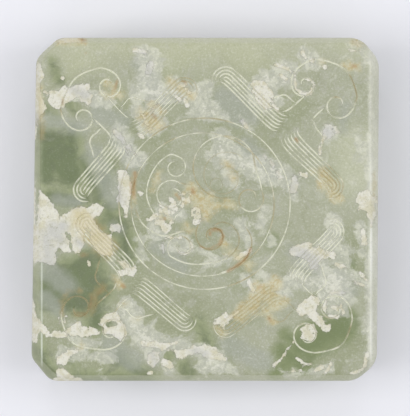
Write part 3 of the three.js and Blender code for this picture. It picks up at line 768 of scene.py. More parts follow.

# %% [markdown]
# ## Where the stone changed
#
# What changed the stone is drawn in two ways. A patch with a crisp edge is an outline on
# one of nine tracing sheets, each laid over one part of the lid and ruled in small steps from
# its top left corner. A soft patch is a stroke of a round brush in millimetres from the middle
# of the carving: two ends and a radius, or one place and a radius for a dab.
# Crust is the cream, opaque skin, and bare is where it flaked off. Ash greys the stone and the
# crust. Veil is thin white clouding, but one of its strokes is a painted highlight along the
# right arris. Moss is the clear dark green. Ochre is a broad iron stain and rust a strong one.
# Dirt says where the cut lines hold ochre.

# %% Tracing sheets
STEP = 0.1754
SHEETS = {
    "back_left": (-44.0, 44.88), "back": (-19.0, 44.88), "back_right": (16.0, 44.88),
    "back_right_band": (-0.25, 37.38), "left": (-44.0, 6.13), "right": (18.5, 7.38),
    "front_left": (-44.0, -18.88), "front": (-19.0, -18.88), "front_right": (9.75, -16.38),
}
OUTLINES = {"crust": {
    "back_left": [
        # the fan beside the left curl
        [(20, 87), (30, 86), (40, 87), (44, 82), (50, 79), (56, 83), (64, 79), (74, 77), (85, 76),
         (86, 80), (82, 88), (90, 94), (88, 101), (82, 109), (78, 104), (73, 103), (71, 97), (68, 95),
         (64, 97), (58, 102), (52, 106), (47, 111), (41, 114), (34, 111), (28, 106), (24, 96)],
        # the strip along the left bevel
        [(10, 37), (13, 45), (16, 53), (20, 59), (20, 68), (17, 75), (13, 76), (14, 85), (18, 97),
         (22, 105), (23, 112), (21, 117), (14, 121), (11, 130), (9, 157), (4, 157), (5, 110), (6, 70),
         (8, 48)],
        # tan skin on the back edge
        [(37, 16), (44, 11), (52, 9), (70, 9), (77, 13), (77, 18), (70, 19), (60, 18), (50, 19),
         (42, 20)],
    ],
    "left": [
        # the large patch between the two left heads
        [(14, 6), (16, 14), (20, 12), (25, 17), (30, 24), (34, 26), (35, 34), (44, 39), (41, 47),
         (43, 49), (48, 41), (60, 36), (70, 30), (78, 32), (86, 31), (91, 27), (96, 24), (101, 29),
         (107, 25), (105, 34), (103, 39), (100, 41), (98, 46), (92, 47), (94, 56), (100, 65), (111, 73),
         (117, 69), (118, 79), (116, 88), (119, 100), (110, 102), (100, 101), (93, 93), (88, 86),
         (80, 79), (76, 86), (72, 96), (64, 97), (60, 97), (54, 95), (49, 98), (44, 93), (40, 90),
         (38, 96), (37, 106), (35, 114), (29, 113), (20, 112), (15, 111), (3, 111), (2, 100), (3, 70),
         (10, 50), (12, 30)],
        # the strip beside the outer ring
        [(125, -20), (126, 16), (120, 24), (128, 25), (133, 34), (133, 46), (138, 48), (140, 44),
         (142, 30), (144, 20), (145, 0), (138, -22)],
        # a loose flake, and lumps on the band
        [(115, 55), (125, 54), (131, 60), (129, 69), (120, 67), (111, 66), (115, 61)],
        [(125, 108), (133, 106), (140, 111), (144, 120), (150, 114), (153, 121), (147, 130), (129, 130),
         (124, 123), (133, 120), (130, 115)],
    ],
    "front_left": [
        # from the bevel to the front left head
        [(0, 18), (4, 18), (6, 26), (8, 33), (6, 39), (11, 45), (12, 50), (20, 56), (25, 63), (28, 69),
         (30, 70), (31, 66), (42, 64), (44, 70), (49, 65), (60, 57), (69, 50), (73, 52), (72, 62),
         (72, 66), (75, 60), (80, 59), (83, 64), (85, 59), (90, 61), (100, 66), (98, 70), (86, 71),
         (85, 75), (74, 74), (70, 72), (56, 72), (48, 74), (38, 77), (33, 74), (25, 75), (20, 70),
         (15, 65), (12, 70), (9, 83), (0, 83)],
        [(39, 47), (43, 43), (44, 53), (41, 55)],
        [(48, 44), (53, 44), (52, 56), (47, 53)],
        # round the right curl
        [(101, 46), (108, 41), (120, 38), (124, 40), (130, 49), (137, 60), (139, 70), (134, 77),
         (128, 81), (123, 76), (118, 71), (106, 70), (105, 61), (96, 56), (97, 53), (101, 56)],
        # a blade, and the skin at the front corner
        [(37, 113), (37, 109), (40, 102), (47, 96), (54, 93), (68, 92), (69, 96), (61, 100), (57, 101),
         (54, 108), (51, 114)],
        [(38, 120), (48, 119), (56, 123), (61, 129), (62, 133), (68, 131), (75, 136), (76, 139),
         (30, 139), (38, 129)],
    ],
    "front": [
        [(25, 98), (35, 93), (42, 96), (43, 106), (41, 111), (33, 119), (25, 112)],
        [(44, 93), (56, 90), (70, 92), (85, 91), (90, 86), (100, 86), (107, 83), (111, 87), (122, 88),
         (126, 94), (134, 98), (135, 101), (141, 107), (135, 108), (120, 106), (108, 104), (100, 98),
         (90, 98), (83, 100), (75, 107), (68, 104), (60, 97), (53, 94), (46, 96)],
        [(44, 105), (53, 106), (59, 110), (64, 115), (60, 120), (51, 118), (44, 115)],
        # lumps on the end of the right band
        [(120, 50), (129, 43), (133, 38), (138, 37), (140, 44), (150, 38), (157, 35), (157, 40),
         (146, 47), (138, 56), (135, 65), (129, 59), (123, 53)],
    ],
    "front_right": [
        [(72, 48), (80, 40), (88, 34), (96, 29), (105, 30), (108, 37), (104, 42), (100, 52), (106, 58),
         (112, 57), (118, 66), (122, 70), (123, 76), (121, 81), (113, 81), (106, 76), (102, 69),
         (96, 65), (92, 60), (88, 56), (84, 58), (80, 62), (76, 58), (74, 53)],
        [(76, 78), (80, 74), (88, 70), (96, 70), (101, 75), (103, 81), (101, 87), (97, 95), (93, 96),
         (85, 93), (79, 91), (82, 85), (78, 80)],
    ],
    "right": [
        [(110, 19), (118, 16), (125, 12), (129, 18), (130, 23), (138, 23), (141, 31), (137, 35),
         (131, 37), (135, 44), (134, 49), (127, 48), (124, 42), (116, 43), (110, 47), (109, 42),
         (113, 36), (107, 33), (109, 26)],
        [(13, 104), (14, 96), (24, 92), (36, 89), (46, 88), (48, 93), (40, 97), (46, 95), (48, 100),
         (55, 94), (66, 101), (76, 101), (80, 106), (78, 114), (70, 112), (60, 113), (52, 122),
         (48, 128), (42, 128), (40, 118), (34, 112), (25, 110), (17, 110)],
    ],
    "back_right_band": [
        [(70, 44), (78, 42), (84, 46), (90, 55), (94, 62), (88, 70), (82, 70), (76, 64), (72, 56),
         (68, 52)],
    ],
}, "veil": {
    "front": [
        [(20, 56), (39, 48), (33, 60), (42, 68), (52, 76), (68, 74), (85, 78), (90, 83), (100, 85),
         (110, 86), (126, 94), (141, 107), (150, 113), (157, 118), (157, 130), (140, 129), (115, 130),
         (100, 125), (85, 117), (95, 115), (100, 110), (94, 101), (84, 99), (76, 107), (68, 106),
         (62, 99), (54, 95), (46, 98), (44, 106), (60, 113), (68, 120), (62, 129), (50, 131), (40, 127),
         (48, 120), (41, 111), (33, 119), (24, 111), (23, 101), (12, 90), (0, 84), (-14, 60), (0, 44)],
    ],
    "front_right": [
        [(112, 48), (116, 42), (124, 37), (135, 36), (142, 40), (148, 47), (151, 55), (150, 60),
         (140, 60), (132, 63), (124, 62), (117, 60), (112, 55)],
    ],
    "right": [
        [(104, 62), (118, 68), (126, 74), (128, 88), (126, 96), (112, 96), (102, 94), (110, 85),
         (112, 76)],
        [(85, 100), (98, 94), (125, 96), (130, 112), (118, 108), (104, 108), (90, 112), (80, 108)],
        [(60, 116), (80, 119), (98, 127), (100, 134), (98, 146), (110, 172), (100, 180), (60, 175),
         (45, 150), (52, 128)],
        [(64, 56), (72, 50), (84, 56), (92, 64), (93, 80), (90, 90), (80, 100), (62, 104), (50, 96),
         (60, 84), (68, 70)],
    ],
    "back": [
        [(95, 75), (118, 78), (115, 90), (120, 100), (130, 115), (138, 128), (100, 128), (80, 125),
         (88, 100)],
        [(4, 26), (22, 24), (38, 32), (46, 46), (42, 60), (46, 78), (60, 70), (64, 76), (58, 92),
         (44, 106), (34, 96), (36, 80), (28, 62), (22, 52), (8, 46)],
    ],
    "back_right_band": [
        [(68, 20), (78, 13), (92, 14), (105, 20), (125, 12), (130, 20), (125, 40), (110, 42), (100, 52),
         (92, 66), (84, 74), (75, 68), (62, 58), (60, 40)],
        [(97, 4), (112, 0), (135, 2), (134, 14), (122, 20), (102, 18)],
        [(50, 82), (58, 84), (62, 92), (70, 98), (66, 104), (56, 100), (50, 92)],
    ],
    "back_right": [
        [(73, 146), (78, 136), (88, 134), (96, 146), (94, 158), (84, 162), (76, 156)],
        [(0, 48), (24, 46), (34, 56), (32, 70), (20, 72), (0, 66)],
        [(40, 32), (54, 26), (66, 34), (78, 44), (70, 56), (52, 60), (42, 48)],
    ],
}, "moss": {
    "left": [
        # the two dark clouds on the left, above and below the large patch of crust
        [(7, -86), (30, -86), (50, -80), (62, -70), (72, -58), (74, -50), (66, -40), (54, -34),
         (44, -20), (40, 0), (22, 8), (8, 0), (4, -40)],
        [(4, 112), (30, 118), (60, 100), (84, 92), (104, 110), (108, 136), (118, 152), (104, 176),
         (80, 190), (50, 186), (26, 182), (8, 176)],
        [(110, 24), (127, 26), (133, 37), (118, 45), (113, 56), (111, 72), (104, 69), (94, 56),
         (93, 49), (100, 41)],
    ],
    "front_right": [
        # round the front right head
        [(128, 64), (148, 64), (150, 76), (144, 90), (133, 100), (120, 107), (100, 108), (85, 104),
         (78, 96), (90, 95), (99, 93), (105, 82), (115, 83), (124, 80)],
        [(53, 80), (68, 86), (66, 98), (54, 92)],
        [(52, 118), (70, 116), (74, 130), (58, 134)],
    ],
}}


def traced(outlines):
    """Outlines as drawn on their sheets, moved to their places on the lid, in millimetres."""
    return [np.array([(SHEETS[sheet][0] + STEP * x, SHEETS[sheet][1] - STEP * y) for x, y in outline])
            for sheet, group in outlines.items() for outline in group]


for name, group in OUTLINES.items():
    print(len(traced(group)), "outlines of", name)

# %% Strokes of each stain
STROKES = {
    "crust": [
        # back left
        (-15.9, 23.6, -15.1, 22.8, 0.4), (-15.0, 21.9, -14.4, 21.0, 0.4),
        (-16.9, 19.0, -15.8, 18.2, 0.45), (-14.4, 19.8, -13.7, 20.4, 0.35),
        (-21.6, 18.6, -20.6, 17.0, 0.6), (-19.5, 15.8, -17.8, 13.8, 0.4),
        (-22.8, 19.3, -21.2, 17.6, 0.55), (-20.3, 15.5, -19.2, 13, 0.3), (-35.9, 32.9, 0.5),
        (-17.8, 39.9, -15.2, 39.4, 0.6),
        # back
        (-14.2, 23.8, -13.4, 24.9, 0.35), (-13.0, 25.4, -12.2, 26.3, 0.35),
        (-6.8, 30.6, -5.2, 31.4, 0.5), (-5.0, 30.2, -4.2, 29.2, 0.45), (-5.2, 27.2, -4.6, 26.0, 0.5),
        (12.2, 31.5, 14.2, 29.0, 0.9), (12.6, 29.6, 15.0, 27.3, 1.3), (8.9, 22.2, 10.4, 20.2, 0.6),
        (-13.6, 36.5, -14.4, 34.5, 0.8), (-7.6, 28.4, -6.4, 27.2, 0.5), (13.2, 27.8, 14.4, 26.2, 0.8),
        # back right
        (15.8, 27.4, 18.0, 24.6, 0.5), (18.6, 33.6, 20.0, 32.6, 0.5), (22.2, 32.6, 22.6, 30.2, 0.4),
        (22.6, 30.2, 24.3, 28.8, 0.42), (24.3, 28.8, 26.1, 29.2, 0.42), (26.1, 29.2, 27.1, 30.9, 0.4),
        (27.1, 30.9, 26.5, 32.3, 0.35), (26.5, 32.3, 24.9, 32.5, 0.3), (13.8, 31.4, 16.2, 28.7, 1.0),
        (29.6, 21.2, 32.0, 20.6, 0.35), (32.0, 20.6, 32.5, 19.2, 0.35), (29.4, 18.2, 28.8, 16.4, 0.4),
        (28.8, 16.4, 28.4, 14.0, 0.3), (14.2, 29.5, 15.2, 26.0, 1.0), (17.3, 36.2, 20.4, 35.2, 0.4),
        (20.4, 35.2, 22.3, 33.6, 0.35), (24.0, 39.6, 25.0, 38.0, 0.5), (37.4, 41.8, 38.8, 41.1, 0.45),
        (35.6, 39.8, 38.4, 39.5, 0.3), (30.4, 19.6, 30.9, 19.1, 1.25), (31.8, 19.4, 33.8, 19.4, 0.35),
        (28.6, 17.0, 28.2, 14.2, 0.25), (26.3, 37.3, 26.5, 37.3, 0.6), (29.8, 35.7, 0.55),
        (33.8, 19.4, 33.9, 19.4, 0.35),
        # left
        (-43.4, -1, -43.3, -10, 0.5), (-43.4, 5, -43.4, -4, 0.8), (-31.6, -11.4, -31.2, -11.8, 0.2),
        (-20.2, 0.8, -20.2, -1.5, 0.35), (-29.3, -12.9, -29.0, -14.0, 0.3),
        # middle
        (-11.5, -0.2, -9.5, -0.9, 0.6), (-8.9, 0.6, -7.6, 1.8, 0.55), (-10.8, -4.2, -10.0, -5.2, 0.8),
        (-5.9, 2.6, -5.0, 2.3, 0.5), (14.6, 13.4, 15.0, 12.9, 0.35), (-10.9, -8.2, -9.4, -6.9, 0.3),
        (-9.4, -6.9, -6.3, -7.0, 0.3), (-10.9, -8.2, -10.6, -10.8, 0.28), (-2.6, -0.6, -2.2, -2.8, 1.2),
        (-8.6, 2.4, -7.7, 0.4, 0.8), (-6.6, 3.9, -4.1, 3.9, 0.4), (-4.1, 3.9, -4.3, 2.2, 0.45),
        (-5.7, 2.5, -6.1, 0.5, 0.3), (-6.1, 0.5, -7.6, -0.5, 0.3), (-11.5, 1.0, -8.2, -0.9, 0.5),
        (-12, -3, -9.4, -4.2, 0.9), (-14.6, -2.6, -12.4, -1.4, 0.6), (-10.8, -4.8, -8.4, -3.0, 0.4),
        (-7.1, -9.0, -6.8, -10.6, 0.28), (-6.8, -10.6, -5.7, -11.3, 0.28),
        (-5.7, -11.3, -4.0, -10.6, 0.28), (-4.0, -10.6, -3.4, -9.2, 0.3), (-3.4, -9.2, -4.1, -7.6, 0.3),
        (8.2, -12.0, 10.8, -10.3, 0.7), (-16.6, 4.2, -16.4, 4.0, 0.6),
        # right
        (23.6, 8.9, 25.0, 8.4, 0.6), (22.2, 7.8, 21.8, 4.6, 0.9), (16.0, 12.0, 17.2, 10.6, 0.3),
        (17.8, 9.6, 18.6, 8.1, 0.45), (40.0, 3.4, 41.4, -1.4, 1.3), (41.6, 0.6, 42.9, 0.3, 0.5),
        (41.2, -2.0, 41.6, -4.2, 0.4), (39.2, -5.2, 39.6, -8.2, 0.7), (26.0, -9.9, 28.6, -10.8, 0.9),
        (26.6, -11.2, 27.4, -14.2, 0.9), (23.4, 8.7, 25.2, 9.0, 0.35),
        # front left
        (-38.9, -36.1, -38.8, -36.1, 0.35),
        # front
        (10.8, -18.0, 11.6, -19.2, 0.5), (11.0, -18.7, 11.8, -20.2, 0.65),
        (-15.6, -33.4, -10.2, -34.2, 0.75), (-10.2, -34.2, -7.6, -33.4, 0.5),
        (-14.6, -40.9, -13.4, -40.7, 0.35), (2.5, -28.5, 5, -27.5, 0.6),
        # front right
        (29.8, -22.8, 29.5, -25.0, 0.35), (29.5, -25.0, 30.8, -26.6, 0.35),
        (30.8, -26.6, 33.0, -27.0, 0.4), (33.0, -27.0, 34.3, -25.7, 0.35),
        (34.3, -25.7, 33.9, -23.8, 0.3), (31.7, -24.4, 32.6, -24.9, 0.5),
        (31.1, -20.6, 34.5, -20.9, 0.35), (21.8, -33.0, 19.4, -36.6, 0.26),
        (19.4, -36.6, 16.8, -39.2, 0.22), (27.5, -40.2, 29.0, -39.4, 0.6),
        (29.6, -41.4, 31.2, -38.6, 0.5), (20.0, -40.8, 23.6, -40.4, 0.35),
        (39.4, -39.6, 40.4, -36.0, 0.5), (36.5, -41.0, 38.8, -40.0, 0.4),
        (33.6, -14.0, 35.5, -14.8, 0.35), (38.6, -15.8, 40.2, -17.8, 0.45),
        (37.2, -18.2, 39.4, -18.9, 0.35), (22.7, -37.2, 24.7, -38.5, 0.32),
        (24.7, -38.5, 26.2, -38.6, 0.3), (24.7, -38.5, 24.4, -39.4, 0.25),
        (32.6, -13.8, 34.2, -14.4, 0.5),
    ],
    "bare": [
        # back left
        (-39.3, 28.6, -39.1, 28.4, 0.25),
        # left
        (-34.9, -5.9, -34.2, -7.4, 0.36), (-34.2, -7.4, -33.2, -10.8, 0.33),
        (-29.9, -4.9, -29.1, -5.5, 0.33), (-29.9, -6.1, -29.1, -6.7, 0.36),
        (-30.0, -7.4, -29.2, -8.4, 0.42),
        # middle
        (-2.9, -0.8, -2.9, -0.9, 0.29), (-2.0, -0.9, 0.29), (-3.1, -1.8, -3.1, -1.9, 0.27),
        (-2.2, -1.8, -2.2, -1.9, 0.29), (-2.6, -2.8, 0.27), (-1.6, -2.4, 0.27),
        (-10.8, -2.5, -9.6, -3.0, 0.25),
        # front left
        (-24.6, -28.9, -22.7, -28.4, 0.5),
        # front
        (-10.4, -36.3, -8.6, -36.6, 1.0),
        # front right
        (28.0, -24.3, 28.0, -25.7, 0.4), (29.6, -26.9, 30.1, -28.3, 0.45),
        (26.8, -31.0, 26.9, -31.2, 0.2),
    ],
    "ash": [
        # back left
        (-42, 22.5, -31, 20.5, 1.8), (-27, 24, -21, 22, 2.4), (-33, 30, -30, 28.5, 1.0),
        # back
        (6, 28, 11, 23.5, 2.4), (4, 28, 8, 23, 2.4), (-16, 37, -12, 26, 2.4),
        # back right
        (30.4, 19.6, 30.9, 19.1, 1.4), (35, 26, 34, 20, 1.0),
        # left
        (-22, 17, -18, 11, 2.2), (-38.4, -4.6, -36.6, -7.5, 1.6), (-28, 14, -23, 3, 2.6),
        (-37, 2.5, -32, 1.8, 1.4), (-38.5, -5.5, -36, -4.6, 1.6), (-40, -6.5, -39.5, -12.5, 1.5),
        (-38.4, -9, -38.2, -12.5, 0.9), (-31.6, -8.2, -31.3, -8.6, 0.9), (-22.8, -4.2, -21.6, -5, 1.0),
        # middle
        (-12, -9, -6, -14, 2.2), (10, 16, 16, 9, 2.2),
        # right
        (22.4, 7.6, 21.8, 4.6, 0.9), (20.8, -10, 23, -10.4, 1.0),
        # front left
        (-40, -22, -37, -25.5, 1.8), (-40, -15, -35, -19, 2.6), (-24, -34, -18, -38, 2.6),
        # front
        (6, -34, 14, -38, 2.6), (-3, -35.5, 0, -36.5, 1.0), (-13.5, -35.6, -13, -38.5, 0.8),
        # front right
        (24, -12, 36, -20, 2.4),
    ],
    "veil": [
        # back left
        (-22, 19.6, -20.2, 16.6, 2.0), (-20.4, 15.5, -16.8, 13.0, 2.0), (-13, 38, -15.5, 30, 2.4),
        (-34, 29, -24, 27, 1.8), (-17, 25, -13, 20, 2.2),
        # back
        (0.8, 28.6, 2.6, 25.6, 0.5), (2.6, 25.6, 5.2, 22.8, 0.5), (-16, 24, -11, 21, 2.2),
        (-9, 31, -14, 26, 1.6), (-16, 29.5, -1, 29, 3.0), (-8, 31.5, -4.5, 28, 1.8),
        # back right
        (13.5, 29.5, 16, 25.5, 2.2), (14.5, 31, 16.6, 27, 2.3), (24, 39.8, 25.5, 37.2, 0.9),
        (41.5, 32, 41.5, 20, 0.7), (38, 18, 39, 12, 0.8), (13, 28.5, 16.5, 24.5, 1.4),
        (30, 19.8, 31, 18.6, 1.2), (36, 41.5, 39, 40.5, 1.1), (39.5, 39, 42, 35, 0.8),
        (22.3, 32.5, 23.3, 29.6, 0.8), (23.3, 29.2, 26.2, 29.2, 0.5),
        # left
        (-21, 16, -18.5, 12, 1.5), (-43.3, 6, -43.1, -13, 0.9), (-23, 4, -22, 2.6, 0.6),
        # middle
        (1.5, 13.0, 7, 7, 1.9), (8.5, -3, 10.5, -7.5, 1.5), (14.2, -0.5, 13.2, -3.5, 1.3),
        (0, -13.2, 5, -12.3, 1.2), (-5.5, -9.5, -4.5, -9, 1.6), (-13, -5, -10.5, -7, 1.5),
        (-17.2, -7.4, -12.6, -8.2, 0.9), (-16.8, -10.8, -15.0, -12, 1.0), (16, -6, 16.4, -9, 0.7),
        (14.3, 13.2, 17.5, 8.5, 1.0), (-10.5, -1, -14, -4.5, 1.3), (-11, -9.5, -8.5, -10.2, 1.0),
        (-13, -7, -6, -8, 1.4), (-2, -10, 2, -12, 0.9), (4, 14, 19, 8, 3.0),
        (-11, -0.5, -6.5, -0.8, 1.8), (-16.2, -7, -15.8, -10, 1.2), (1.4, 10, 1.5, 7.8, 0.35),
        (3, 18.5, 10, 13, 2.0),
        # right
        (21.5, 7, 22, 3.5, 1.4), (38.5, -4, 39, -8.5, 1.6), (34.5, -10, 40, -11.3, 1.1),
        (26, -12, 29, -16, 2.4), (41, 18, 41.2, 2, 1.2), (34.5, -10, 35, -16, 1.8),
        (20.5, 8, 22.5, 3.5, 1.0), (42.9, 3, 42.9, -30, 0.6),
        # front left
        (-19.3, -23.2, -17.0, -25.2, 1.2), (-18, -27, -14, -33, 1.6), (-19, -24, -17, -25, 1.0),
        (-36, -35.5, -24, -37, 1.6), (-33.5, -32, -27.5, -34, 1.5), (-20, -24, -17, -31, 2.2),
        (-26.5, -41, -25, -42.5, 0.8),
        # front
        (-12.5, -34.5, -4, -35, 1.0), (10, -18, 13, -20.5, 1.6),
        # front right
        (20, -41.2, 24, -41.2, 1.0), (27.2, -40.8, 30.8, -39.6, 1.5), (33, -14, 39, -17.5, 1.3),
        # The stroke at x 41.3 from y 2 to -40 is a painted highlight along the right arris, not veil
        (40.8, -12, 41, -36, 1.5), (41.3, 2, 41.3, -40, 0.6), (22, -17, 32, -20, 2.4),
        (14, -16, 20, -21, 1.4), (18.9, -40.6, 24.1, -40.9, 0.7), (26, -40.5, 31, -39.5, 1.2),
    ],
    "moss": [
        # back left
        (-38.6, 37, -36.6, 32.2, 0.7), (-39.6, 24.5, -38, 23.5, 1.4), (-34, 26.5, -33, 25, 1.0),
        # left
        (-25, -1, -22, -4, 1.8), (-20.5, -4, -18.5, -9, 1.2), (-39, 4, -31, 2, 2.2),
        (-21.5, -3, -19.5, -12, 2.2), (-34, 18, -33, 8, 3.0), (-37, 14, -34, 9, 4.6),
        (-31, 12, -28, 6, 2.6), (-24.5, 0.5, -23.5, -5, 2.0), (-27, 2, -24, 12, 1.4),
        # middle
        (16.4, -7.4, 16.7, -8.8, 0.7),
        # right
        (31, 10.5, 33, 8.5, -0.8), (34.8, -13.6, 36, -13.9, 0.7),
        # front left
        (-29, -13, -25, -20, 2.4), (-43.6, -13, -43.6, -28, 1.6), (-43.3, -12, -43.5, -27, 0.9),
        (-43.2, -34, -38.5, -42, 2.3), (-34, -42.6, -14, -43, 2.3), (-27, -12, -25.5, -18, 2.0),
        (-30, -13, -27.5, -28, 3.2), (-22, -37, -17, -41, 1.8), (-18.5, -40.2, -15, -41.8, 1.6),
        (-33.5, -37.5, -32.5, -41, 1.1),
        # front
        (-1.5, -29, 0.5, -33, 1.6), (-5.5, -39, -4, -41.5, 1.2), (-9.4, -36.4, 0.9),
        # front right
        (20, -39, 17, -41, 1.2), (24, -34, 34, -29, 4.0), (19.6, -31, 21.5, -32.5, 1.4),
        (19, -35.5, 24, -38.5, 2.2),
    ],
    "ochre": [
        # back left
        (-41.6, 30, -41.2, 18, 0.7), (-37.2, 42.3, -31, 42.3, 1.0), (-24.4, 31.5, -21.5, 28.5, 0.9),
        (-26.4, 29, -23.3, 28.2, 0.6), (-30.5, 42.2, -30.3, 41.6, 0.5), (-40.9, 31, -40.7, 30.6, 0.5),
        (-17, 25, -13.5, 19.5, 0.8),
        # back
        (-15.5, 23.5, -12, 21.5, 1.6), (-13.5, 26.3, -11.3, 24.4, 1.0), (-15.5, 24, -12.5, 21, 1.0),
        (-9, 32, -3.5, 28.5, 1.1),
        # back right
        (37.2, 42.0, 39.2, 41.0, 0.9), (36.2, 35.9, 37.4, 35.8, 1.3), (34.5, 36, 38, 35.7, 0.5),
        (28.6, 37.3, 30, 37, 0.4),
        # left
        (-31, -2.5, -25, -9.5, 3.0), (-30.8, -11.6, -30.4, -11.4, 0.7),
        # middle
        (-3.6, 5.6, -2.6, 1.8, 1.4), (-1.2, 3, 0.3, -1.2, 1.7), (-5.2, -3.6, -3.6, -5.4, 0.8),
        (-7.5, 3.9, -6.7, 2.7, 0.5), (-10.8, -1.9, -9.3, -2.6, 0.5), (-3.5, 4.5, -1.5, 0.5, 1.4),
        (-1, 1.5, 1, 3.5, 1.1), (-18, 6, -18, 2, 0.7), (5, 12, 7, 8, 1.0), (4, -8, 9, -13, 1.0),
        (-12, 9, -13, 5, 0.7), (-17.9, 9.5, -18.2, 0.5, 0.2), (-3, 2, 0, 0, 1.0), (0, 1, 6.5, 1, 1.2),
        (6, -10.5, 11, -14, 1.2), (-5.2, 4.2, -5.2, 1.8, 0.7),
        # right
        (29, 9, 32.5, 5, 1.2), (27, 9.2, 0.7), (29, 6.5, 33, 3, 1.6), (42, 9, 42, 3, 0.3),
        # front left
        (-25.4, -19.4, -27.6, -21.5, 0.9), (-27.6, -21.5, -28.8, -25.0, 1.0),
        (-35.3, -21.6, -34.2, -20.6, 0.5), (-34.2, -20.6, -31.6, -20.3, 0.35),
        (-32.6, -25.9, -30.2, -26.2, 0.55), (-30.2, -26.2, -28.9, -24.6, 0.7),
        (-22.6, -17.2, -21, -19, 0.9), (-35.8, -23, -35.9, -26.4, 0.45),
        (-21.7, -18.9, -21.5, -19.1, 0.9), (-35.2, -22.2, -35, -22.3, 0.4),
        (-28.6, -22.6, -28.2, -24.3, 0.5), (-29.8, -25.7, -31.7, -25.9, 0.4),
        (-25.6, -20.3, -25.2, -20.1, 0.6), (-20.7, -23.8, -20.5, -24.0, 0.7),
        (-17.7, -27.1, -17, -27.2, 0.7), (-31.4, -34, -31.2, -34.2, 0.8),
        # front
        (17.5, -18.8, 8.2, -26.2, 2.1), (1.7, -29, 4.7, -31.4, 0.6),
        # front right
        (14, -24, 17, -28, 1.0), (14, -20, 17, -24, 2.2), (13, -19, 19, -23, 1.6),
        (12.7, -26.2, 15.5, -26.6, 0.15),
    ],
    "rust": [
        # back left
        (-31.6, 42.6, -30.4, 42.3, 0.35), (-30.7, 41.7, -30.4, 41.5, 0.25), (-30.1, 39.0, 0.15),
        (-35.9, 27.6, -35.8, 26.4, 0.12), (-22.2, 32, -22.9, 30, 0.25),
        # back
        (-13.2, 23.6, -12.7, 23.0, 0.25), (-5.8, 32.1, -5.2, 31.7, 0.25),
        # back right
        (36.7, 35.9, 37.3, 35.8, 0.35), (22.5, 17.6, 22.9, 17.1, 0.25),
        # left
        (-31, -11.6, -30.6, -11.4, 0.25),
        # middle
        (-1.4, -9.3, 0.9, -9.8, 0.10), (0.9, -9.8, 3.4, -8.6, 0.10), (3.4, -8.6, 4.3, -6.7, 0.30),
        (4.3, -6.7, 3.8, -5.3, 0.30), (3.8, -5.3, 2.4, -4.8, 0.30), (2.4, -4.8, 1.0, -5.4, 0.30),
        (1.0, -5.4, 1.0, -6.2, 0.30), (11.1, -9.8, 10.1, -12.1, 0.25), (10.1, -12.1, 8.0, -13.8, 0.25),
        (8.0, -13.8, 5.5, -15.4, 0.25), (-17.8, 9.2, -18.1, 3, 0.3), (-18.6, 8, -18.8, 4, 0.12),
        (-7.4, 3.6, -6.6, 2.8, 0.25), (-3.4, 5.2, -3.1, 4.2, 0.35), (-10.5, -2.2, -10.2, -2.3, 0.2),
        (9.5, -12.3, 11.3, -10.2, 0.12),
        # front left
        (-31.9, -25.9, -30.4, -26.0, 0.2), (-28.6, -22.0, -28.9, -24.4, 0.3),
        (-26, -19.8, -27, -21.2, 0.2), (-20.8, -19, -20.4, -19.4, 0.3),
        # front
        (13.7, -19.2, 13.2, -19.8, 0.2),
        # front right
        (16.2, -28, 15.8, -27, 0.15),
    ],
    "dirt": [
        # back left
        (-37, 28, -36, 25, 1.0),
        # back
        (-6, 33, -3.5, 31, 2.0), (-16, 25, -10, 19, 2.2), (-2, 21.5, 4, 21.3, 1.6),
        (-9, 33, -2.5, 26, 3.0),
        # back right
        (33, 31, 37, 30, 2.6),
        # left
        (-20.5, 9, -20.5, 0, 1.0),
        # middle
        (-5.5, -7.5, -1, -6, 1.0), (-18, 10, -18, 0, 1.4), (6, 17, 12, 12, 1.6), (3, 6.5, 8.4),
        (1.6, -6.7, 5.4), (10, -6, 9, -13, 3.0), (15, 3, 17, -2, 2.0),
        # right
        (30.5, 9.0, 33, 4.5, 1.9),
        # front left
        (-28, -13.5, -25.5, -20, 2.2), (-32, -24, 4.6), (-36, -20, -26, -26, 4.0),
        # front
        (18, -19, 6, -28, 3.2),
        # front right
        (10, -19, 20, -26, 3.6), (30, -29, 35, -30, 2.0),
    ],
}
print("strokes:", {name: len(strokes) for name, strokes in STROKES.items()})

# %% [markdown]
# ## Painting the fields
#
# A field is a number at every point: how far inside the nearest patch the point lies, in
# millimetres. Noise that the shader adds to it frays the patch by a known width, which a plain
# mask of 0 and 1 can't give. The photograph doesn't show the sides, so slow noise stains them.


# %% Paint the fields on the points
FIELD_LIMIT, FAR, NO_LENGTH = 4.0, 9.0, 1e-9
SIDE_BELOW, SIDE_FADE = 2.5, 0.3
HOLLOW_REACH, HOLLOW_BELOW, HOLLOW_LOSS, HOLLOW_MOST = 40, 1, 0.8, 1
SLOW_SIZE, PATCHY_SIZE, PATCHY_SHIFT, FRACTAL = 16, 9, (7, 3, 1), (0.6, 2.1, 3)


def gap_to(xy, start, way):
    """How far each point lies from a straight stretch, in millimetres."""
    share = np.clip((xy - start) @ way / max(way @ way, NO_LENGTH), 0, 1)
    return np.linalg.norm(xy - start - share[:, None] * way, axis=1)


def inside_strokes(xy, strokes):
    """How far inside the nearest stroke each point lies, in millimetres, negative outside."""
    best = np.full(len(xy), -FIELD_LIMIT)
    for *ends, radius in strokes:
        start, end = np.array(ends[:2]), np.array(ends[-2:])
        best = np.maximum(best, radius - gap_to(xy, start, end - start))
    return best


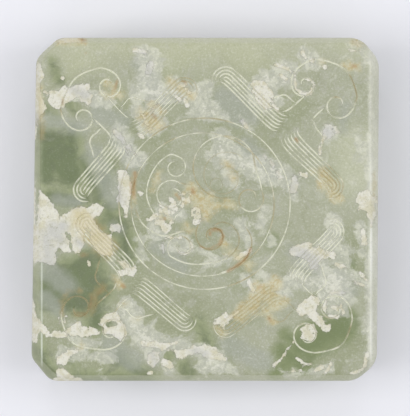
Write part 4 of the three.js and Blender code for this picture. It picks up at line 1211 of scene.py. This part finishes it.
def inside_outlines(xy, outlines):
    """The same for closed outlines, whose corners are joined by straight edges."""
    best = np.full(len(xy), -FIELD_LIMIT)
    for outline in outlines:
        middle, half = (outline.min(0) + outline.max(0)) / 2, np.ptp(outline, 0) / 2
        near = (np.abs(xy - middle) < half + FIELD_LIMIT).all(1)
        here = xy[near]
        gap, inside = np.full(len(here), FAR), np.zeros(len(here), bool)
        for start, end in zip(outline, np.roll(outline, -1, 0)):
            way = end - start
            gap = np.minimum(gap, gap_to(here, start, way))
            spans = (start[1] > here[:, 1]) != (end[1] > here[:, 1])
            crossing = start[0] + way[0] * (here[:, 1] - start[1]) / (way[1] or NO_LENGTH)
            inside ^= spans & (here[:, 0] < crossing)
        best[near] = np.maximum(best[near], np.where(inside, gap, -gap))
    return best


def paint(piece):
    """Store every stain on the points: as drawn on the top, by slow noise on the sides."""
    count = len(piece.data.vertices)
    points = np.empty(count * 3)
    piece.data.vertices.foreach_get("co", points)
    points = points.reshape(-1, 3) / MM
    xy = points[:, :2] - CARVING
    drop = np.maximum(0, TOP - SIDE_BELOW - points[:, 2])
    hollow = (np.abs(points[:, :2]).max(1) < HOLLOW_REACH) & (points[:, 2] < TOP - HOLLOW_BELOW)
    slow = np.array([noise.fractal(Vector(p) / SLOW_SIZE, *FRACTAL) for p in points])
    shift = Vector(PATCHY_SHIFT)
    patchy = np.array([noise.fractal(Vector(p) / PATCHY_SIZE + shift, *FRACTAL) for p in points])
    none = np.full(count, -FIELD_LIMIT)
    side = {"crust": slow * 7 - 3.9, "veil": patchy * 7 - 3.0, "moss": -slow * 7 - 2.8,
            "ochre": -patchy * 7 - 4.9, "ash": patchy * 5 - 2, "rust": none, "dirt": none}
    fields = {name: inside_strokes(xy, strokes) for name, strokes in STROKES.items()}
    for name, outlines in OUTLINES.items():
        fields[name] = np.maximum(fields[name], inside_outlines(xy, traced(outlines)))
    fields["crust"] = np.minimum(fields["crust"], -fields.pop("bare"))
    for name, values in fields.items():
        values = np.where(drop > 0, np.maximum(values - SIDE_FADE * drop, side[name]), values)
        values = np.where(hollow, np.minimum(side[name] - HOLLOW_LOSS, HOLLOW_MOST), values)
        layer = piece.data.attributes.get(name) or piece.data.attributes.new(name, "FLOAT", "POINT")
        layer.data.foreach_set("value", np.clip(values, -FIELD_LIMIT, FIELD_LIMIT))


for piece in (base, lid):
    paint(piece)
    print("painted", piece.name)

# %% [markdown]
# ## The stone
#
# Jade is mixed from two greens in slow clouds, with darker and greyer mottling. Layers lie
# over it in the order of the cells below. Every tone and share was tuned beside the
# photograph. `between` turns a field into a share, and `over` lays a tone on what is below it
# by that share.


# %% Colour and noise helpers
def ink(red, green, blue):
    """A colour as a screen shows it, 0 to 255, made linear."""
    return (*(((v / 255 + 0.055) / 1.055) ** 2.4 for v in (red, green, blue)), 1.0)


tree = Tree(jade.node_tree)
object_place = tree.wire(tree.add("ShaderNodeTexCoord"), "Object")
in_mm = tree.add("ShaderNodeVectorMath", {"operation": "SCALE"}, {0: object_place, "Scale": 1 / MM})
in_mm = tree.wire(in_mm)


def cloud(size, detail=4.0, roughness=0.55, shift=0.0, twist=0.0):
    place = tree.vector("ADD", in_mm, (shift, shift * 0.7, shift * 0.4))
    node = tree.add("ShaderNodeTexNoise", {"noise_dimensions": "3D"},
                    {"Vector": place, "Scale": 1 / size, "Detail": detail, "Roughness": roughness,
                     "Distortion": twist})
    return tree.wire(node, "Fac")


def painted(name):
    return tree.wire(tree.add("ShaderNodeAttribute", {"attribute_name": name}), "Fac")


def over(below, above, share):
    node = tree.add("ShaderNodeMix", {"data_type": "RGBA"}, {0: share, 6: below, 7: above})
    return tree.wire(node, 2)


def band(value, rise, fall):
    """1 between the two pairs and 0 outside them, soft within each pair."""
    return value.between(*rise) * value.between(*reversed(fall))


axes = tree.add("ShaderNodeSeparateXYZ", None, {"Vector": in_mm})
place_x, place_y, height = (tree.wire(axes, name) for name in "XYZ")
fray = (cloud(1.4, 6, 0.65) - 0.5) * 2.2
soft_fray = (cloud(2.6, 6, 0.62, 13) - 0.5) * 5.0
streaks = (cloud(5.5, 9, 0.68, 41, 0.9) - 0.5) * 7.5
slow = cloud(20, 3, 0.5, 3, 0.4)
print("nodes for place and noise:", len(tree.nodes.nodes))

# %% The clean green stone
green = over(ink(154, 157, 132), ink(140, 145, 113), slow.between(0.4, 0.6))
green = over(green, ink(128, 133, 98), cloud(5.5, 5, 0.62, 21, 0.8).between(0.48, 0.72) * 0.5)
green = over(green, ink(166, 166, 152), cloud(3.4, 6, 0.66, 25, 0.8).between(0.5, 0.68) * 0.5)
# The stone is paler towards the back edge, and in one patch on the right
green = over(green, ink(188, 189, 160), (place_y + (slow - 0.5) * 40.0).between(26, 46) * 0.6)
bright = place_x.between(26, 36) * band(place_y, (-2, 8), (16, 24))
green = over(green, ink(196, 197, 172), bright * 0.5)
print("with the green stone:", len(tree.nodes.nodes))

# %% [markdown]
# ## Moss and ash
#
# Where the stone stayed clear it is a deep moss green, in clouds with ragged edges. A noise
# texture alone would put such clouds anywhere, so the painted field says where they lie, and
# noise added to it gives them their edges. Ash is a grey cast that is laid on the same way.

# %% Moss and ash
mossy = painted("moss") + (cloud(5, 7, 0.62, 31, 0.6) - 0.5) * 3.4
moss = mossy.between(-2.0, 0.7)
deep = over(ink(134, 142, 102), ink(86, 101, 54), mossy.between(0.0, 2.8))
deep = over(deep, ink(78, 90, 52), cloud(4, 6, 0.62, 35, 0.8).between(0.44, 0.62) * 0.6)
# The right half's moss is a fresher green
deep = over(deep, ink(104, 118, 64), place_x.between(2, 18) * 0.6)
green = over(green, deep, moss * 0.92)
ash = (painted("ash") + soft_fray * 0.6).between(-1.4, 1.4)
green = over(green, ink(150, 154, 142), ash * 0.62)
print("with moss and ash:", len(tree.nodes.nodes))

# %% [markdown]
# ## The milky veil
#
# White clouding lies in the stone in streaks. A coarse and a fine noise pull its field about,
# and faint wisps come from noise alone. Flakes and gaps break it up, because an even white
# would look like breath on glass.

# %% The milky veil, with white flakes in it and gaps where the green shows
# This field also holds one painted highlight: a stroke along the right arris
clouded = painted("veil") + streaks + fray * 0.9
veil = clouded.between(-0.5, 0.6)
wisps = cloud(7, 9, 0.72, 51, 1.6).between(0.52, 0.68) * (0.5 - 0.35 * moss)
pale = tree.maths("MAXIMUM", veil * 0.66, wisps)
milk = over(ink(176, 177, 164), ink(204, 204, 188), cloud(2.2, 7, 0.7, 55, 0.6).between(0.43, 0.6))
milk = over(milk, ink(216, 214, 198), clouded.between(2.0, 4.2) * 0.5)
stone = over(green, milk, pale)
flakes = ((cloud(1.3, 7, 0.7, 63, 0.5) - 0.5) * 8.0 + clouded * 0.5).between(1.2, 1.7)
stone = over(stone, ink(214, 213, 199), flakes * 0.5)
gaps = ((cloud(0.9, 6, 0.7, 67, 0.5) - 0.5) * 8.0 + clouded * 0.3).between(1.7, 2.3)
stone = over(stone, ink(138, 142, 116), gaps * 0.45)
print("with the veil:", len(tree.nodes.nodes))

# %% [markdown]
# ## Painted light on the edges
#
# The bevel, the right side and a fine line along the left and the right of the face are
# painted lighter, for the light they catch from the soft boxes: painted light over the bevel
# and the right side, and a painted highlight along each arris. These follow the box's shape and
# not its stains, so bands of place and height, in millimetres, say where they are.

# %% Painted light: the bevel, the right side's rim and a highlight line on each arris
# Painted light: the bevel and the top of the sides are made lighter, for the light they catch from the soft
# boxes
bevel_painted_light = band(height, (TOP - 4, TOP - 2), (TOP - 0.3, TOP))
stone = over(stone, ink(198, 199, 178), bevel_painted_light * 0.32)
# Painted light: the right bevel and the top of the right side are made lighter, for the light of the right
# soft box
rim = place_x.between(40.3, 41.4) * height.between(TOP - 7, TOP - 2)
stone = over(stone, ink(214, 214, 202), rim * (0.3 + 0.5 * slow.between(0.35, 0.65)))
# Painted highlight: a thin light line along the left arris of the face
left_arris_highlight = band(place_x, (-41.2, -40.95), (-40.75, -40.5)) * band(place_y, (-40, -38), (-13.5, -11.5))
stone = over(stone, ink(196, 202, 186), left_arris_highlight * (0.25 + 0.45 * slow.between(0.38, 0.6)))
# Painted highlight: a thin light line along the right arris of the face
right_arris_highlight = band(place_x, (41.15, 41.4), (41.7, 41.95)) * band(place_y, (-39, -37), (4, 17))
stone = over(stone, ink(228, 229, 220), right_arris_highlight * (0.3 + 0.5 * slow.between(0.35, 0.6)))
print("with pale edges:", len(tree.nodes.nodes))

# %% [markdown]
# ## Ochre and crust
#
# Iron has stained the stone tan in soft patches. The crust is opaque, with crisp edges, and
# hides what lies below it, so it comes after the ochre and takes up some ochre and ash itself.

# %% Ochre and crust
ochre = (painted("ochre") + soft_fray * 0.9).between(-0.9, 1.3)
tan = over(ink(192, 186, 152), ink(182, 164, 112), cloud(1.1, 6, 0.7, 57).between(0.45, 0.6))
tan = over(tan, ink(132, 118, 62), moss * 0.9)
stone = over(stone, tan, ochre * 0.76)
crust = (painted("crust") + fray).between(-0.08, 0.16)
cream = over(ink(212, 210, 197), ink(198, 194, 170), cloud(2.2, 6, 0.68, 61).between(0.42, 0.62))
cream = over(cream, ink(184, 184, 178), ash * 0.8)
cream = over(cream, ink(150, 150, 120), cloud(0.9, 6, 0.72, 71).between(0.55, 0.68) * 0.6)
cream = over(cream, ink(196, 184, 140), ochre * 0.55)
stone = over(stone, cream, crust)
print("with ochre and crust:", len(tree.nodes.nodes))

# %% [markdown]
# ## Grain, powder and dirt
#
# A fine grain runs through stone and crust alike. The cut lines hold white powder, unevenly,
# and ochre where dirt collected. The tree that cut them stored how near each point lies to a
# line, so the filling keeps to the lines, which a painted mask would do less exactly.

# %% Grain, and the powder and dirt in the cut lines
grain = cloud(0.5, 5, 0.75, 81)
stone = over(stone, ink(226, 226, 216), grain.between(0.52, 0.7) * (0.3 - 0.22 * moss))
stone = over(stone, ink(104, 110, 78), grain.between(0.48, 0.3) * 0.28)
powder = painted("powder")
dirt = (painted("dirt") + (cloud(3, 4, 0.6, 91) - 0.5) * 6.0).between(-1.5, 1.2)
core = over(ink(188, 176, 132), ink(146, 128, 80), powder.between(0.4, 0.95))
filling = over(ink(220, 220, 203), core, dirt * 0.85)
filling = over(filling, ink(194, 190, 166), crust * 0.85)
packed = powder.between(0.22, 0.62) * (0.42 + 0.58 * cloud(2.6, 6, 0.68, 101, 0.4).between(0.36, 0.54))
stone = over(stone, filling, packed * (0.88 - 0.25 * dirt) * (1.0 - 0.85 * crust))
print("with grain and filled lines:", len(tree.nodes.nodes))

# %% [markdown]
# ## Rust
#
# A few strong stains, such as the curl on the medallion's lower spiral, lie over stone and
# powder alike, so they are laid on last.

# %% Rust, with a soft rim and a darker core
rusty = painted("rust")
rust = over(ink(160, 124, 74), ink(118, 100, 50), moss)
stone = over(stone, rust, (rusty + fray * 0.5).between(-0.5, 0.3) * 0.55)
stone = over(stone, ink(142, 110, 60), (rusty + fray * 0.3).between(0.0, 0.35) * 0.5)
print("with rust:", len(tree.nodes.nodes))

# %% [markdown]
# ## Gloss and relief
#
# Polished jade is fairly glossy, and crust and powder are dull. A bump lifts the crust by about
# a tenth of a millimetre. Light goes a little way into the stone, so a small part of it is
# scattered below the skin.

# %% Gloss, relief and the finished skin
JADE_BEND, JADE_SHINE = 1.61, 0.5
SCATTERED, SCATTER_TINT, SCATTER_DEPTH = 0.12, (1.0, 1.1, 0.7), 1.2
POLISHED, DULLEST = 0.34, 0.85
roughness = POLISHED + 0.12 * pale + 0.34 * crust + 0.05 * grain
roughness = tree.maths("MINIMUM", roughness + 0.4 * packed, DULLEST)
relief = crust * 0.06 + crust * cloud(0.7, 5, 0.7, 111) * 0.08 + grain * 0.01
relief = relief + cloud(5, 2, 0.5, 121) * 0.03
bump = tree.add("ShaderNodeBump", None, {"Height": relief, "Distance": MM, "Strength": 1.0})
skin = tree.add("ShaderNodeBsdfPrincipled", None, {
    "Base Color": stone, "Roughness": roughness, "Normal": tree.wire(bump),
    "IOR": JADE_BEND, "Specular IOR Level": JADE_SHINE, "Subsurface Weight": SCATTERED,
    "Subsurface Radius": SCATTER_TINT, "Subsurface Scale": SCATTER_DEPTH * MM})
tree.add("ShaderNodeOutputMaterial", None, {"Surface": tree.wire(skin)})
print("jade nodes:", len(tree.nodes.nodes))

# %% [markdown]
# ## Hand the pieces to the frame
#
# The base and the lid stand for the two solids. Neither moves, so both ride on the root.

# %% Pieces and frame
for piece, node in ((base, "base"), (lid, "lid")):
    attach(piece, "root")
    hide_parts(node)
print("pieces:", base.name, lid.name)

# %% [markdown]
# ## The studio
#
# The photograph was taken straight down on a pale table, in soft light that is a little
# stronger from the left. Four soft boxes stand round the box: two high up on the left and the
# right, and two low at the back and the front. None of them stands where the camera would see
# it mirrored in the lid. Colours are shown as they are, without a film curve.

# %% Table, light and camera
TABLE_SIZE, AIR, AIR_STRENGTH = 6.0, (0.97, 0.98, 1.0, 1.0), 0.58
# Each soft box: place and size in metres, strength in watts
SOFT_BOXES = {
    "left_box": ((-0.55, -0.05, 0.95), 0.4, 0.9, 3.8),
    "right_box": ((0.55, 0.0, 0.95), 0.4, 0.9, 3.1),
    "back_box": ((0.0, 0.8, 0.5), 0.9, 0.2, 1.6),
    "front_box": ((0.0, -0.8, 0.4), 0.9, 0.2, 1.0),
}
AIM = Vector((0, 0, 0.02))
# In millimetres: the width that the camera sees, how high it hangs over the lid, its film, its place
PICTURE_WIDTH, CAMERA_HEIGHT, SENSOR, CAMERA_PLACE = 102.5, 900.0, 36.0, (-0.025, 0.325)
scene = bpy.context.scene
scene.view_settings.view_transform = "Standard"
table_paint = bpy.data.materials.new("table_paint")
table_paint.use_nodes = True
paint_tree = Tree(table_paint.node_tree)
table_skin = paint_tree.add("ShaderNodeBsdfPrincipled", None,
                            {"Base Color": ink(230, 230, 236), "Roughness": 0.9})
paint_tree.add("ShaderNodeOutputMaterial", None, {"Surface": paint_tree.wire(table_skin)})
half = TABLE_SIZE / 2
mesh = bpy.data.meshes.new("table")
corners = [(-half, -half, 0), (half, -half, 0), (half, half, 0), (-half, half, 0)]
mesh.from_pydata(corners, [], [(0, 1, 2, 3)])
mesh.materials.append(table_paint)
table = placed("table", mesh)

world = bpy.data.worlds.new("room")
scene.world = world
world.use_nodes = True
room = Tree(world.node_tree)
air = room.add("ShaderNodeBackground", None, {"Color": AIR, "Strength": AIR_STRENGTH})
room.add("ShaderNodeOutputWorld", None, {"Surface": room.wire(air)})

for name, (spot, across, tall, watts) in SOFT_BOXES.items():
    data = bpy.data.lights.new(name, "AREA")
    data.shape, data.size, data.size_y, data.energy = "RECTANGLE", across, tall, watts
    box = placed(name, data)
    box.location = spot
    box.rotation_euler = (AIM - Vector(spot)).to_track_quat("-Z", "Y").to_euler()
camera_data = bpy.data.cameras.new("camera")
camera_data.sensor_width = SENSOR
camera_data.sensor_fit = "HORIZONTAL"
camera_data.lens = SENSOR * CAMERA_HEIGHT / PICTURE_WIDTH
camera = placed("camera", camera_data)
camera.location = (CAMERA_PLACE[0] * MM, CAMERA_PLACE[1] * MM, (TOP + CAMERA_HEIGHT) * MM)
scene.camera = camera
print("soft boxes:", len(SOFT_BOXES), "and the camera looks down from", CAMERA_HEIGHT, "mm")
